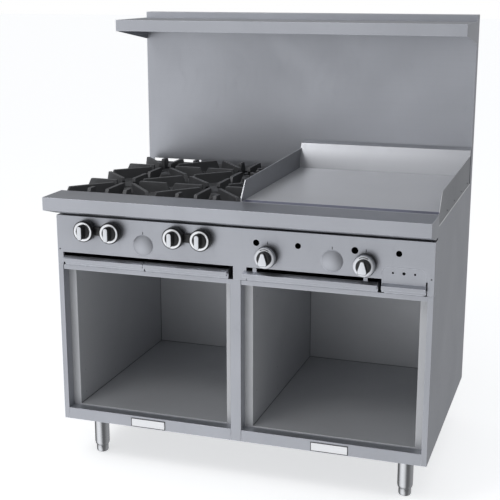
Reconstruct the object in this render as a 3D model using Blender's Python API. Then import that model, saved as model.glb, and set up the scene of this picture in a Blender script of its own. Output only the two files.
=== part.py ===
"""A 48 inch commercial gas range on an open storage base.

Four open burners stand on the left and a flat griddle on the right. Sheet steel
panels are folded sections, castings are turned or welded solids, and every piece
that turns, slides or lifts has its own origin on the axis of its motion.

Metres, +Z up, -Y is the cook's side, the floor is z = 0 and x = 0 is the middle.
"""

import math

import bmesh
import bpy
from mathutils import Matrix, Vector

# Overall size.
HALF_WIDTH = 0.600
HALF_DEPTH = 0.438
TOTAL_HEIGHT = 1.448
LEG_HEIGHT = 0.152

# Planes that the sheets are set out from.
RAIL_REACH = 0.085
PANEL_Y = -HALF_DEPTH + RAIL_REACH
SHEET = 0.0015
THIN_SHEET = 0.0012
GAP = 0.0003

# Cabinet front.
CABINET_TOP = 0.679
STILE_WIDTH = 0.017
JAMB_DEPTH = 0.036
BOTTOM_RAIL_TOP = 0.190
STILE_LEFT = -0.018
STILE_RIGHT = 0.017
TOP_RAIL_LOW = 0.664
TOP_RAIL_SETBACK = 0.002
BODY_TOP = 0.879
REAR_FLANGE = 0.020

# Cabinet liners.
LINER_FLOOR = 0.1935
LINER_CEILING = 0.6565
LINER_BACK = 0.720
LINER_OUTER_X = 0.557
LINER_INNER_X = 0.0435
LINER_RIM_OUTER_X = 0.5845
LINER_RIM_INNER_X = 0.0008

# Control panel.
PANEL_TOP = 0.840
PANEL_RETURN = 0.040
OPENING_TOP = 0.721
OPENING_END_X = 0.581
LEFT_OPENING_RIGHT_X = -0.008
RIGHT_OPENING_LEFT_X = 0.034
DRAWER_OPENING_LEFT_X = 0.447
DRAWER_OPENING_RIGHT_X = 0.5765
DRAWER_OPENING_TOP = 0.759
DRAWER_CORNER = 0.020
LIGHTING_HOLE_Z = 0.799
LIGHTING_HOLES = ((0.0655, 0.0100), (0.195, 0.0093), (0.3666, 0.0105), (0.496, 0.0093))
STEM_HOLE_RADIUS = 0.007

# Plate rail.
RAIL_TOP = 0.912
RAIL_LIP_LOW = 0.871
RAIL_HEEL = 0.8468
RAIL_BACK = 0.040

# Knobs and valves.
BURNER_KNOB_Z = 0.798
BURNER_KNOB_SPREAD = 0.0445
GRIDDLE_KNOB_Z = 0.761
GRIDDLE_KNOB_X = (0.101, 0.400)
KNOB_RADIUS = 0.0335
KNOB_BACK = 0.0035
GRIP_FRONT = 0.0560
PLUG_X = (-0.3035, 0.299)
PLUG_Z = 0.7615
STEM_RADIUS = 0.004
STEM_FRONT = 0.015
VALVE_FRONT = 0.030
VALVE_BACK = 0.080
PIPE_RADIUS = 0.0168
PIPE_Z = 0.7795
PIPE_DEPTH = 0.062
PIPE_LEFT_X = -0.540
PIPE_RETURN_X = 0.556

# Cooking top.
FRAME_FRONT = 0.0425
FRAME_BACK = 0.735
FRAME_LOW = 0.845
BURNER_LEDGE = 0.8795
GRIDDLE_LEDGE = 0.890
REAR_LIP_TOP = 0.901
DIVIDER_X = -0.0038
BURNER_X = (-0.450, -0.150)
BURNER_DEPTH = (0.225, 0.535)
BAY_HALF_X = 0.125
BAY_HALF_Y = 0.130
GRATE_TOP = 0.920
GRATE_HALF_X = 0.1470
GRATE_INNER_Y = 0.1530
GRATE_OUTER_Y = 0.1750
GRATE_RING = 0.005
GRATE_EYE = 0.078
GRATE_CORNER_INSET = 0.008
RIB_THICKNESS = 0.011
RIB_LOW = 0.8820
RIB_TIP_LOW = 0.9050
STRAIGHT_RIB_START = 0.040
SLANTED_RIB_START = 0.052
SHORT_RIB_X = 0.062
SHORT_RIB_START = 0.128
SHORT_RIB_UNDERCUT = 0.002

# Griddle.
GRIDDLE_LEFT = 0.0045
GRIDDLE_RIGHT = 0.5980
GRIDDLE_BACK = 0.6895
GRIDDLE_TOP = 0.912
TROUGH_BACK = 0.080
TROUGH_FLOOR = 0.8935
DRAIN = ((0.507, 0.577), (0.050, 0.074))
SPLASH_SIDE_TOP = 0.978
SPLASH_BACK_TOP = 1.005

# Trays and drawer.
TRAY_FLOOR = 0.6793
TRAY_WALL_TOP = 0.7085
TRAY_BACK = 0.640
LIP_REACH = 0.0175
LIP_TOP = 0.7095
LIP_EDGE = 0.7035
LIP_LOW = 0.6925

# Backguard and shelf.
GUARD_FRONT = 0.7433
GUARD_BACK = 0.790
GUARD_SKIRT = 0.910
GUARD_SLOT_X = (-0.580, -0.392)
SHELF_FRONT = 0.478
SHELF_TOP = 1.4275
SHELF_LIP_LOW = 1.390
SHELF_HEEL_LOW = 1.352

# Legs.
LEG_X = 0.520
LEG_DEPTHS = (0.108, 0.680)
LEG_RADIUS = 0.0245
FOOT_RADIUS = 0.0200
FOOT_HEIGHT = 0.027

# Base, burner castings and trim.
BASE_TOP = 0.185
GRIDDLE_BURNER_Z = 0.812
GRIDDLE_BURNER_CROSS = 0.130
GRIDDLE_BURNER_REACH = 0.540
GRIDDLE_BURNER_LEGS = ((0.085, 0.235), (0.365, 0.515))
TUBE_RADIUS = 0.0135
DOME_RIM = 0.0022
DOME_RISE = 0.0060
PLATE_X = 0.3007
PLATE_Z = 0.1685
PLATE_HALF = (0.059, 0.0145)
PLATE_RISE = 0.0022

ROUND = 24
COARSE = 16

STEEL = ((0.44, 0.45, 0.48), 0.38, 0.9)
DULL_STEEL = ((0.30, 0.31, 0.33), 0.45, 0.9)
CHROME = ((0.62, 0.63, 0.65), 0.18, 1.0)
CAST_IRON = ((0.045, 0.046, 0.050), 0.62, 0.4)
BLACK_PLASTIC = ((0.012, 0.012, 0.013), 0.40, 0.0)
GRIDDLE_STEEL = ((0.36, 0.37, 0.38), 0.40, 0.9)
NAMEPLATE = ((0.80, 0.80, 0.82), 0.35, 0.6)


def behind(depth):
    """The y of a plane that lies this far behind the control panel's face."""
    return PANEL_Y + depth


def clear_scene():
    for obj in list(bpy.data.objects):
        bpy.data.objects.remove(obj, do_unlink=True)


def finish_of(name, finish):
    colour, roughness, metallic = finish
    material = bpy.data.materials.new(name)
    material.use_nodes = True
    shader = material.node_tree.nodes["Principled BSDF"]
    shader.inputs["Base Color"].default_value = (*colour, 1.0)
    shader.inputs["Roughness"].default_value = roughness
    shader.inputs["Metallic"].default_value = metallic
    return material


def mesh_from(bm, name):
    bmesh.ops.recalc_face_normals(bm, faces=bm.faces)
    mesh = bpy.data.meshes.new(name)
    bm.to_mesh(mesh)
    bm.free()
    return mesh


def node(name, bm, finish, origin=(0.0, 0.0, 0.0), smooth=False):
    """Make one visible piece. Its mesh is local to origin."""
    mesh = mesh_from(bm, name)
    mesh.materials.append(finish_of(name, finish))
    if smooth:
        mesh.shade_smooth()
        mesh.set_sharp_from_angle(angle=math.radians(35.0))
    piece = bpy.data.objects.new(name, mesh)
    piece.location = origin
    bpy.context.scene.collection.objects.link(piece)
    return piece


def twin(piece, name, origin):
    """A second piece of the same pattern, with its own mesh and finish."""
    mesh = piece.data.copy()
    mesh.name = name
    mesh.materials[0] = mesh.materials[0].copy()
    mesh.materials[0].name = name
    copy = bpy.data.objects.new(name, mesh)
    copy.location = origin
    bpy.context.scene.collection.objects.link(copy)
    return copy


def boolean(piece, bm, operation):
    """Weld a second solid to a piece, or cut it away, and keep the result."""
    tool = bpy.data.objects.new("tool", mesh_from(bm, "tool"))
    tool.location = piece.location
    tool.hide_render = True
    tool.display_type = "WIRE"
    bpy.context.scene.collection.objects.link(tool)
    modifier = piece.modifiers.new(operation.lower(), "BOOLEAN")
    modifier.operation = operation
    modifier.object = tool
    bpy.context.view_layer.update()
    graph = bpy.context.evaluated_depsgraph_get()
    worked = bpy.data.meshes.new_from_object(piece.evaluated_get(graph))
    worked.name = piece.name
    piece.modifiers.clear()
    piece.data = worked
    bpy.data.objects.remove(tool, do_unlink=True)


def weld(piece, *solids):
    for bm in solids:
        boolean(piece, bm, "UNION")


def cut(piece, *solids):
    for bm in solids:
        boolean(piece, bm, "DIFFERENCE")


def block(low, high):
    """A box between two corners."""
    size = [b - a for a, b in zip(low, high)]
    centre = [(a + b) / 2 for a, b in zip(low, high)]
    bm = bmesh.new()
    place = Matrix.Translation(centre) @ Matrix.Diagonal((*size, 1.0))
    bmesh.ops.create_cube(bm, size=1.0, matrix=place)
    return bm


def slab(x, depth, z):
    """A box given by its spans, with its depth counted from the control panel."""
    low = (x[0], behind(depth[0]), z[0])
    high = (x[1], behind(depth[1]), z[1])
    return block(low, high)


def together(*solids):
    """Several solids that don't touch, as one mesh."""
    joined = bmesh.new()
    for bm in solids:
        mesh = mesh_from(bm, "part")
        joined.from_mesh(mesh)
        bpy.data.meshes.remove(mesh)
    return joined


def prism(outline, axis, start, stop):
    """Extrude a closed outline along an axis, from start to stop."""
    order = {"X": (2, 0, 1), "Y": (0, 2, 1), "Z": (0, 1, 2)}[axis]
    bm = bmesh.new()
    corners = []
    for first, second in outline:
        values = (first, second, start)
        corners.append(bm.verts.new([values[i] for i in order]))
    face = bm.faces.new(corners)
    grown = bmesh.ops.extrude_face_region(bm, geom=[face])
    moved = [item for item in grown["geom"] if isinstance(item, bmesh.types.BMVert)]
    shift = [(0.0, 0.0, stop - start)[i] for i in order]
    bmesh.ops.translate(bm, verts=moved, vec=shift)
    return bm


def folded(points, thickness):
    """The closed section of a folded sheet, grown to the left of its outer line."""
    line = [Vector(point) for point in points]
    inner = []
    for index, point in enumerate(line):
        before = line[index] - line[index - 1] if index else line[1] - line[0]
        after = line[index + 1] - point if index + 1 < len(line) else before
        normals = [Vector((-v.y, v.x)).normalized() for v in (before, after)]
        mitre = (normals[0] + normals[1]).normalized()
        inner.append(point + mitre * (thickness / mitre.dot(normals[0])))
    return [tuple(p) for p in line] + [tuple(p) for p in reversed(inner)]


def side_section(points):
    """Points given as depth and height, for a section that runs along X."""
    return [(behind(depth), height) for depth, height in points]


def turned(profile, axis, segments):
    """Turn a profile of (radius, height) about an axis through the origin."""
    order = {"X": (2, 0, 1), "Y": (0, 2, 1), "Z": (0, 1, 2)}[axis]
    bm = bmesh.new()
    points = []
    for radius, height in profile:
        values = (radius, 0.0, height)
        points.append(bm.verts.new([values[i] for i in order]))
    edges = [bm.edges.new(pair) for pair in zip(points, points[1:])]
    direction = [(0.0, 0.0, 1.0)[i] for i in order]
    bmesh.ops.spin(
        bm, geom=points + edges, cent=(0, 0, 0), axis=direction,
        angle=math.tau, steps=segments,
    )
    bmesh.ops.remove_doubles(bm, verts=bm.verts, dist=1e-6)
    return bm


def rod(axis, radius, start, stop, segments=COARSE):
    """A round bar along one axis, from its start point for a given reach."""
    bm = turned([(0.0, 0.0), (radius, 0.0), (radius, stop), (0.0, stop)], axis, segments)
    bmesh.ops.translate(bm, verts=bm.verts, vec=start)
    return bm


def mirrored(bm):
    bmesh.ops.scale(bm, verts=bm.verts, vec=(-1.0, 1.0, 1.0))
    bmesh.ops.reverse_faces(bm, faces=bm.faces)
    return bm


def build_side_panels():
    plan = [
        (HALF_WIDTH - STILE_WIDTH, behind(JAMB_DEPTH)),
        (HALF_WIDTH - STILE_WIDTH, behind(0.0)),
        (HALF_WIDTH, behind(0.0)),
        (HALF_WIDTH, HALF_DEPTH),
        (HALF_WIDTH - REAR_FLANGE, HALF_DEPTH),
    ]
    for side in ("left", "right"):
        sheet = prism(folded(plan, SHEET), "Z", LEG_HEIGHT, BODY_TOP)
        clearance = slab((0.55, 0.65), (-0.01, PANEL_RETURN + 0.0008), (CABINET_TOP, 1.0))
        if side == "left":
            sheet = mirrored(sheet)
            clearance = mirrored(clearance)
        piece = node(f"{side}_side_panel", sheet, STEEL)
        cut(piece, clearance)


def build_base_and_rear():
    pan = node(
        "base_pan", slab((-0.598, 0.598), (0.0375, 0.787), (0.1522, BASE_TOP)), DULL_STEEL
    )
    cut(pan, slab((-0.5965, 0.5965), (0.0390, 0.7855), (0.1537, 0.30)))
    rear = node("rear_panel", slab((-0.598, 0.598), (0.7875, 0.789), (0.1535, BODY_TOP)), DULL_STEEL)
    cut(rear, rod("Y", 0.021, (PIPE_RETURN_X, behind(0.780), PIPE_Z), 0.02, ROUND))


def build_liners():
    for side in ("left", "right"):
        rim = slab((LINER_RIM_INNER_X, LINER_RIM_OUTER_X), (0.0370, 0.0382), (0.1865, 0.6775))
        shell = slab(
            (LINER_INNER_X - THIN_SHEET, LINER_OUTER_X + THIN_SHEET),
            (0.0376, LINER_BACK + THIN_SHEET),
            (LINER_FLOOR - THIN_SHEET, LINER_CEILING + THIN_SHEET),
        )
        hollow = slab(
            (LINER_INNER_X, LINER_OUTER_X), (0.02, LINER_BACK), (LINER_FLOOR, LINER_CEILING)
        )
        runner = slab((0.060, 0.540), (0.600, 0.612), (LINER_CEILING + 0.0006, 0.6788))
        shapes = [rim, shell, hollow, runner]
        if side == "left":
            shapes = [mirrored(shape) for shape in shapes]
        piece = node(f"{side}_cabinet_liner", shapes[0], DULL_STEEL)
        weld(piece, shapes[1])
        cut(piece, shapes[2])
        weld(piece, shapes[3])


def build_front_frame():
    plan = [
        (STILE_LEFT, behind(JAMB_DEPTH)),
        (STILE_LEFT, behind(0.0)),
        (STILE_RIGHT, behind(0.0)),
        (STILE_RIGHT, behind(JAMB_DEPTH)),
    ]
    stile = node("centre_stile", prism(folded(plan, SHEET), "Z", LEG_HEIGHT, CABINET_TOP), STEEL)
    cut(stile, slab((-0.03, 0.03), (SHEET + GAP, 0.05), (TOP_RAIL_LOW - 0.0015, 0.70)))
    cut(stile, slab((-0.03, 0.03), (SHEET + GAP, 0.05), (0.10, BOTTOM_RAIL_TOP)))
    section = folded(
        side_section([(JAMB_DEPTH, BOTTOM_RAIL_TOP), (0.0, BOTTOM_RAIL_TOP), (0.0, LEG_HEIGHT)]),
        SHEET,
    )
    end = HALF_WIDTH - STILE_WIDTH - GAP
    spans = {"left": (-end, STILE_LEFT - GAP), "right": (STILE_RIGHT + GAP, end)}
    for side, (start, stop) in spans.items():
        node(f"{side}_bottom_rail", prism(section, "X", start, stop), STEEL)
    top = folded(
        side_section([
            (JAMB_DEPTH, 0.6785),
            (TOP_RAIL_SETBACK, 0.6785),
            (TOP_RAIL_SETBACK, TOP_RAIL_LOW),
        ]),
        SHEET,
    )
    node("front_top_rail", prism(top, "X", -end, end), STEEL)


def drawer_face_outline(inset, low):
    """The drawer face and its cut-out: square below, with round upper corners."""
    left = DRAWER_OPENING_LEFT_X + inset
    right = DRAWER_OPENING_RIGHT_X - inset
    top = DRAWER_OPENING_TOP - inset
    radius = DRAWER_CORNER - inset
    points = [(left, low), (right, low)]
    for centre_x, first in ((right - radius, 0.0), (left + radius, math.pi / 2)):
        for step in range(5):
            angle = first + step * math.pi / 8
            x = centre_x + radius * math.cos(angle)
            points.append((x, top - radius + radius * math.sin(angle)))
    return points


def build_control_panel():
    body = slab((-HALF_WIDTH, HALF_WIDTH), (0.0, PANEL_RETURN), (0.6795, PANEL_TOP))
    panel = node("control_panel", body, STEEL)
    inner = HALF_WIDTH - SHEET
    cut(panel, slab((-inner, inner), (SHEET, 0.05), (0.60, PANEL_TOP - SHEET)))
    cut(
        panel,
        slab((-OPENING_END_X, LEFT_OPENING_RIGHT_X), (-0.01, 0.01), (0.60, OPENING_TOP)),
        slab((RIGHT_OPENING_LEFT_X, OPENING_END_X), (-0.01, 0.01), (0.60, OPENING_TOP)),
        prism(drawer_face_outline(0.0, 0.70), "Y", behind(-0.01), behind(0.01)),
    )
    for x, radius in LIGHTING_HOLES:
        cut(panel, rod("Y", radius, (x, behind(-0.01), LIGHTING_HOLE_Z), 0.02))
    for x, z in knob_axes():
        cut(panel, rod("Y", STEM_HOLE_RADIUS, (x, behind(-0.01), z), 0.02))


def knob_axes():
    """Where the four burner stems and then the two griddle stems pass the panel."""
    axes = []
    for centre in BURNER_X:
        axes.append((centre - BURNER_KNOB_SPREAD, BURNER_KNOB_Z))
        axes.append((centre + BURNER_KNOB_SPREAD, BURNER_KNOB_Z))
    for x in GRIDDLE_KNOB_X:
        axes.append((x, GRIDDLE_KNOB_Z))
    return axes


def build_plate_rail():
    outer = side_section([
        (RAIL_BACK, RAIL_TOP),
        (-RAIL_REACH, RAIL_TOP),
        (-RAIL_REACH, RAIL_LIP_LOW),
        (-0.001, RAIL_HEEL),
        (RAIL_BACK, RAIL_HEEL),
    ])
    slope = (RAIL_HEEL - RAIL_LIP_LOW) / (RAIL_REACH - 0.001)
    rise = SHEET * math.hypot(1.0, slope)

    def underside(depth):
        return RAIL_LIP_LOW + slope * (depth + RAIL_REACH) + rise

    hollow = side_section([
        (0.060, RAIL_TOP - SHEET),
        (-RAIL_REACH + SHEET, RAIL_TOP - SHEET),
        (-RAIL_REACH + SHEET, underside(-RAIL_REACH + SHEET)),
        (0.020, underside(0.020)),
        (0.060, underside(0.020)),
    ])
    rail = node("plate_rail", prism(outer, "X", -HALF_WIDTH, HALF_WIDTH), STEEL)
    inner = HALF_WIDTH - SHEET
    cut(rail, prism(hollow, "X", -inner, inner))


def build_top_frame():
    frame = node(
        "top_frame",
        slab((-0.598, 0.598), (FRAME_FRONT, FRAME_BACK), (FRAME_LOW, GRIDDLE_LEDGE)),
        DULL_STEEL,
    )
    walls = (FRAME_FRONT + SHEET, FRAME_BACK - SHEET)
    plate = 0.002
    cut(
        frame,
        slab((-0.70, DIVIDER_X + 0.0008), (-0.1, 0.9), (BURNER_LEDGE, 1.0)),
        slab((-0.5965, DIVIDER_X - 0.0008), walls, (0.80, BURNER_LEDGE - plate)),
        slab((DIVIDER_X + 0.0008, 0.5965), walls, (0.80, GRIDDLE_LEDGE - plate)),
    )
    for x in BURNER_X:
        for depth in BURNER_DEPTH:
            span_x = (x - BAY_HALF_X, x + BAY_HALF_X)
            span_y = (depth - BAY_HALF_Y, depth + BAY_HALF_Y)
            cut(frame, slab(span_x, span_y, (0.86, 0.90)))
    cut(
        frame,
        slab((0.020, 0.580), (0.095, 0.700), (0.86, 0.91)),
        slab((0.500, 0.584), (0.047, 0.078), (0.86, 0.91)),
    )
    weld(
        frame,
        slab((DIVIDER_X - 0.0011, DIVIDER_X + 0.0011), (0.082, 0.732), (0.722, 0.860)),
        slab((-0.598, DIVIDER_X - 0.002), (FRAME_BACK - SHEET, FRAME_BACK), (0.870, REAR_LIP_TOP)),
    )


def tray_lip(span):
    """The folded pull along a tray's front, as a hollow hook."""
    line = side_section([
        (0.0015, TRAY_FLOOR + 0.004),
        (0.0015, LIP_TOP),
        (-LIP_REACH, LIP_EDGE),
        (-LIP_REACH, LIP_LOW),
        (-0.006, LIP_LOW),
    ])
    return prism(folded(line, THIN_SHEET), "X", *span)


def build_tray(name, lip_span, pan_span):
    tray = node(name, slab(pan_span, (0.0008, TRAY_BACK), (TRAY_FLOOR, TRAY_WALL_TOP)), STEEL)
    inner = (pan_span[0] + THIN_SHEET, pan_span[1] - THIN_SHEET)
    cut(tray, slab(inner, (0.0020, TRAY_BACK - THIN_SHEET), (TRAY_FLOOR + THIN_SHEET, 0.80)))
    weld(tray, tray_lip(lip_span))
    return tray


def build_trays():
    build_tray("left_drip_tray", (-0.5755, -0.3015), (-0.5745, -0.3025))
    build_tray("middle_drip_tray", (-0.2985, -0.0235), (-0.2975, -0.0245))
    griddle = build_tray("griddle_drip_tray", (0.0270, 0.4375), (0.0360, 0.4365))
    cut(griddle, slab((0.0, 0.0350), (-0.0003, 0.05), (0.60, 0.80)))
    weld(
        griddle,
        slab((0.054, 0.066), (0.0010, 0.0018), (0.700, 0.7195)),
        slab((0.394, 0.406), (0.0010, 0.0018), (0.700, 0.7195)),
    )
    drawer = node("grease_drawer", slab((0.456, 0.570), (0.0006, 0.450), (TRAY_FLOOR, 0.750)), STEEL)
    cut(drawer, slab((0.4572, 0.5688), (0.0020, 0.4488), (TRAY_FLOOR + THIN_SHEET, 0.80)))
    face = prism(
        drawer_face_outline(0.0006, TRAY_FLOOR + 0.002), "Y", behind(0.0002), behind(0.0014)
    )
    weld(drawer, face, tray_lip((0.4500, 0.5780)))
    for x, radius in ((0.480, 0.0034), (0.512, 0.0050), (0.544, 0.0034)):
        cut(drawer, rod("Y", radius, (x, behind(-0.01), 0.741), 0.02, 12))


def rib(angle, inner, outer, undercut=0.030, aside=0.0):
    """One upright cast finger of a grate, pointing outward at an angle."""
    half = RIB_THICKNESS / 2
    end = outer - 0.0005
    outline = [
        (inner + undercut, RIB_LOW),
        (inner, RIB_TIP_LOW),
        (inner + 0.003, GRATE_TOP),
        (outer - 0.014, GRATE_TOP),
        (end, 0.8950),
        (end, RIB_LOW),
    ]
    bm = prism(outline, "Y", aside - half, aside + half)
    bmesh.ops.rotate(bm, verts=bm.verts, cent=(0, 0, 0), matrix=Matrix.Rotation(angle, 3, "Z"))
    return bm


def grate_ribs(row):
    """Eight fingers round the eye, then two short ones on the outer edge of this row."""
    outward = {"front": -1, "rear": 1}[row]
    straight = []
    slanted = []
    for way, reach_y in ((outward, GRATE_OUTER_Y), (-outward, GRATE_INNER_Y)):
        straight.append(rib(way * math.pi / 2, STRAIGHT_RIB_START, reach_y))
        for side in (-1, 1):
            angle = math.atan2(way * reach_y, side * GRATE_HALF_X)
            reach = math.hypot(GRATE_HALF_X, reach_y) - GRATE_CORNER_INSET
            slanted.append(rib(angle, SLANTED_RIB_START, reach))
    for angle in (0.0, math.pi):
        straight.append(rib(angle, STRAIGHT_RIB_START, GRATE_HALF_X))
    short = [
        rib(outward * math.pi / 2, SHORT_RIB_START, GRATE_OUTER_Y, SHORT_RIB_UNDERCUT, aside)
        for aside in (-SHORT_RIB_X, SHORT_RIB_X)
    ]
    return together(*straight), together(*slanted), together(*short)


def build_grates():
    low = BURNER_LEDGE + GAP
    spans_y = {
        "front": (-GRATE_OUTER_Y, GRATE_INNER_Y),
        "rear": (-GRATE_INNER_Y, GRATE_OUTER_Y),
    }
    for row, depth in zip(("front", "rear"), BURNER_DEPTH):
        left, right = [(x, behind(depth), 0.0) for x in BURNER_X]
        start, stop = spans_y[row]
        plate = block((-GRATE_HALF_X, start, low), (GRATE_HALF_X, stop, low + GRATE_RING))
        first = node(f"grate_{row}_left", plate, CAST_IRON, left)
        cut(first, rod("Z", GRATE_EYE, (0.0, 0.0, 0.87), 0.03))
        weld(first, *grate_ribs(row))
        twin(first, f"grate_{row}_right", right)


def build_burners():
    """Venturi castings and the ported heads that sit on them."""
    head_profile = [
        (0.0, 0.850),
        (0.0125, 0.850),
        (0.0125, 0.8618),
        (0.0340, 0.8618),
        (0.0365, 0.8660),
        (0.0365, 0.8840),
        (0.0300, 0.8925),
        (0.0120, 0.8950),
        (0.0, 0.8950),
    ]
    first_head = None
    for column, x in zip(("left", "right"), BURNER_X):
        for row, depth in zip(("front", "rear"), BURNER_DEPTH):
            side = -BURNER_KNOB_SPREAD if row == "front" else BURNER_KNOB_SPREAD
            reach = depth - 0.086
            bowl = turned(
                [
                    (0.0, 0.786),
                    (0.0170, 0.786),
                    (0.0170, 0.826),
                    (0.0420, 0.846),
                    (0.0420, 0.8615),
                    (0.0, 0.8615),
                ],
                "Z", ROUND,
            )
            base = node(f"burner_base_{row}_{column}", bowl, CAST_IRON,
                        (x, behind(depth), 0.0), smooth=True)
            cut(base, rod("Z", 0.0135, (0.0, 0.0, 0.845), 0.03))
            weld(
                base,
                rod("X", 0.0128, (min(side, 0.0), 0.0, BURNER_KNOB_Z), abs(side)),
                rod("Y", 0.0140, (side, -reach, BURNER_KNOB_Z), reach + 0.010),
            )
            name = f"burner_head_{row}_{column}"
            origin = (x, behind(depth), 0.0)
            if first_head:
                twin(first_head, name, origin)
            else:
                first_head = node(name, turned(head_profile, "Z", ROUND), CAST_IRON,
                                  origin, smooth=True)


def build_knobs():
    """Six knobs on their valve stems, each with its origin on the stem's axis."""
    burner_profile = [
        (0.0, -KNOB_BACK),
        (0.0200, -KNOB_BACK),
        (0.0200, -0.0060),
        (0.0320, -0.0060),
        (KNOB_RADIUS, -0.0080),
        (KNOB_RADIUS, -0.0275),
        (0.0310, -0.0300),
        (0.0, -0.0300),
    ]
    griddle_profile = [
        (0.0, -KNOB_BACK),
        (0.0290, -KNOB_BACK),
        (0.0300, -0.0200),
        (KNOB_RADIUS, -0.0215),
        (0.0325, -0.0290),
        (0.0200, -0.0320),
        (0.0190, -0.0430),
        (0.0, -0.0430),
    ]
    kinds = {
        "burner": (burner_profile, block((-0.0072, -GRIP_FRONT, -0.0220), (0.0072, -0.0290, 0.0220))),
        "griddle": (griddle_profile, block((-0.0095, -GRIP_FRONT, -0.0205), (0.0095, -0.0420, 0.0190))),
    }
    names = ["front_left", "rear_left", "front_right", "rear_right", "left", "right"]
    firsts = {}
    for label, (x, z) in zip(names, knob_axes()):
        kind = "burner" if "_" in label else "griddle"
        name = f"{kind}_knob_{label}"
        origin = (x, behind(0.0), z)
        if kind in firsts:
            twin(firsts[kind], name, origin)
        else:
            profile, grip = kinds[kind]
            knob = node(name, turned(profile, "Y", ROUND), BLACK_PLASTIC, origin, smooth=True)
            weld(knob, grip)
            cut(knob, rod("Y", STEM_RADIUS + GAP, (0.0, -STEM_FRONT - GAP, 0.0), 0.02, 12))
            firsts[kind] = knob
        stem = rod("Y", STEM_RADIUS, (0.0, -STEM_FRONT, 0.0), STEM_FRONT + VALVE_FRONT - GAP, 12)
        node(f"valve_stem_{label}", stem, CHROME, origin, smooth=True)


def build_manifold():
    """Supply pipe with its six valve bodies, running back to the inlet."""
    start = (PIPE_LEFT_X, behind(PIPE_DEPTH), PIPE_Z)
    pipe = node(
        "gas_manifold", rod("X", PIPE_RADIUS, start, PIPE_RETURN_X - PIPE_LEFT_X + 0.01), DULL_STEEL
    )
    rear = HALF_DEPTH - 0.0005
    back_start = (PIPE_RETURN_X, behind(PIPE_DEPTH) - 0.010, PIPE_Z)
    weld(pipe, rod("Y", PIPE_RADIUS - 0.0004, back_start, rear - back_start[1]))
    for x, z in knob_axes():
        low = min(z, PIPE_Z) - 0.013
        high = max(z, PIPE_Z) + 0.013
        weld(pipe, slab((x - 0.012, x + 0.012), (VALVE_FRONT, VALVE_BACK), (low, high)))


def build_griddle():
    plate = node(
        "griddle_plate",
        slab((GRIDDLE_LEFT, GRIDDLE_RIGHT), (FRAME_FRONT, GRIDDLE_BACK),
             (GRIDDLE_LEDGE + GAP, GRIDDLE_TOP)),
        GRIDDLE_STEEL,
    )
    trough_x = (GRIDDLE_LEFT + SHEET, GRIDDLE_RIGHT - SHEET)
    cut(
        plate,
        slab(trough_x, (FRAME_FRONT + SHEET, TROUGH_BACK), (TROUGH_FLOOR, 1.0)),
        slab(DRAIN[0], DRAIN[1], (0.85, 0.90)),
    )
    wall_low = GRIDDLE_LEDGE + GAP
    left = side_section([
        (0.047, wall_low), (0.047, 0.922), (0.086, 0.971), (0.690, SPLASH_SIDE_TOP),
        (0.7170, SPLASH_SIDE_TOP), (0.7170, wall_low),
    ])
    right = side_section([
        (FRAME_FRONT, BODY_TOP + 0.0005), (FRAME_FRONT, 0.918), (0.086, 0.971),
        (0.690, SPLASH_SIDE_TOP), (0.7170, SPLASH_SIDE_TOP), (0.7170, BODY_TOP + 0.0005),
    ])
    back = folded(
        side_section([
            (0.6900, wall_low), (0.7000, 0.944), (0.7215, 0.996), (0.7400, SPLASH_BACK_TOP),
        ]),
        -SHEET,
    )
    splash = node("griddle_splash", prism(left, "X", 0.0005, 0.0040), STEEL)
    weld(splash, prism(back, "X", 0.0010, 0.5995), prism(right, "X", 0.5985, HALF_WIDTH))
    build_griddle_burners()


def build_griddle_burners():
    """Two U-shaped tube burners under the plate."""
    height = GRIDDLE_BURNER_Z
    cross = GRIDDLE_BURNER_CROSS
    for side, knob_x, legs in zip(("left", "right"), GRIDDLE_KNOB_X, GRIDDLE_BURNER_LEGS):
        burner = node(
            f"griddle_burner_{side}",
            rod("X", 0.0128, (legs[0], behind(cross), height), legs[1] - legs[0]),
            DULL_STEEL,
        )
        for leg in legs:
            start = (leg, behind(cross) - 0.010, height)
            weld(burner, rod("Y", TUBE_RADIUS, start, GRIDDLE_BURNER_REACH))
        if knob_x - legs[0] > 0.020:
            inlet = rod("Y", 0.0122, (knob_x, behind(0.086), height), cross - 0.086 + 0.004)
            weld(burner, inlet)
        else:
            inlet = slab((legs[0] - 0.006, knob_x + 0.012), (0.086, cross), (0.801, 0.823))
            weld(burner, inlet)


def build_guard_and_shelf():
    guard = node(
        "backguard",
        slab((-HALF_WIDTH, HALF_WIDTH), (GUARD_FRONT, GUARD_BACK), (BODY_TOP + 0.0007, TOTAL_HEIGHT)),
        STEEL,
    )
    inner = HALF_WIDTH - SHEET
    cut(
        guard,
        slab((-inner, inner), (GUARD_FRONT + SHEET, 0.80), (0.80, TOTAL_HEIGHT - SHEET)),
        slab(GUARD_SLOT_X, (0.70, GUARD_FRONT + 0.01), (0.80, GUARD_SKIRT)),
    )
    section = side_section([
        (SHELF_FRONT, SHELF_LIP_LOW),
        (GUARD_FRONT - GAP, SHELF_HEEL_LOW),
        (GUARD_FRONT - GAP, SHELF_TOP),
        (SHELF_FRONT, SHELF_TOP),
    ])
    shelf = node("high_shelf", prism(section, "X", -HALF_WIDTH, HALF_WIDTH), STEEL)
    cut(shelf, slab((-inner, inner), (SHELF_FRONT + SHEET, 0.80), (1.30, SHELF_TOP - SHEET)))


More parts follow.
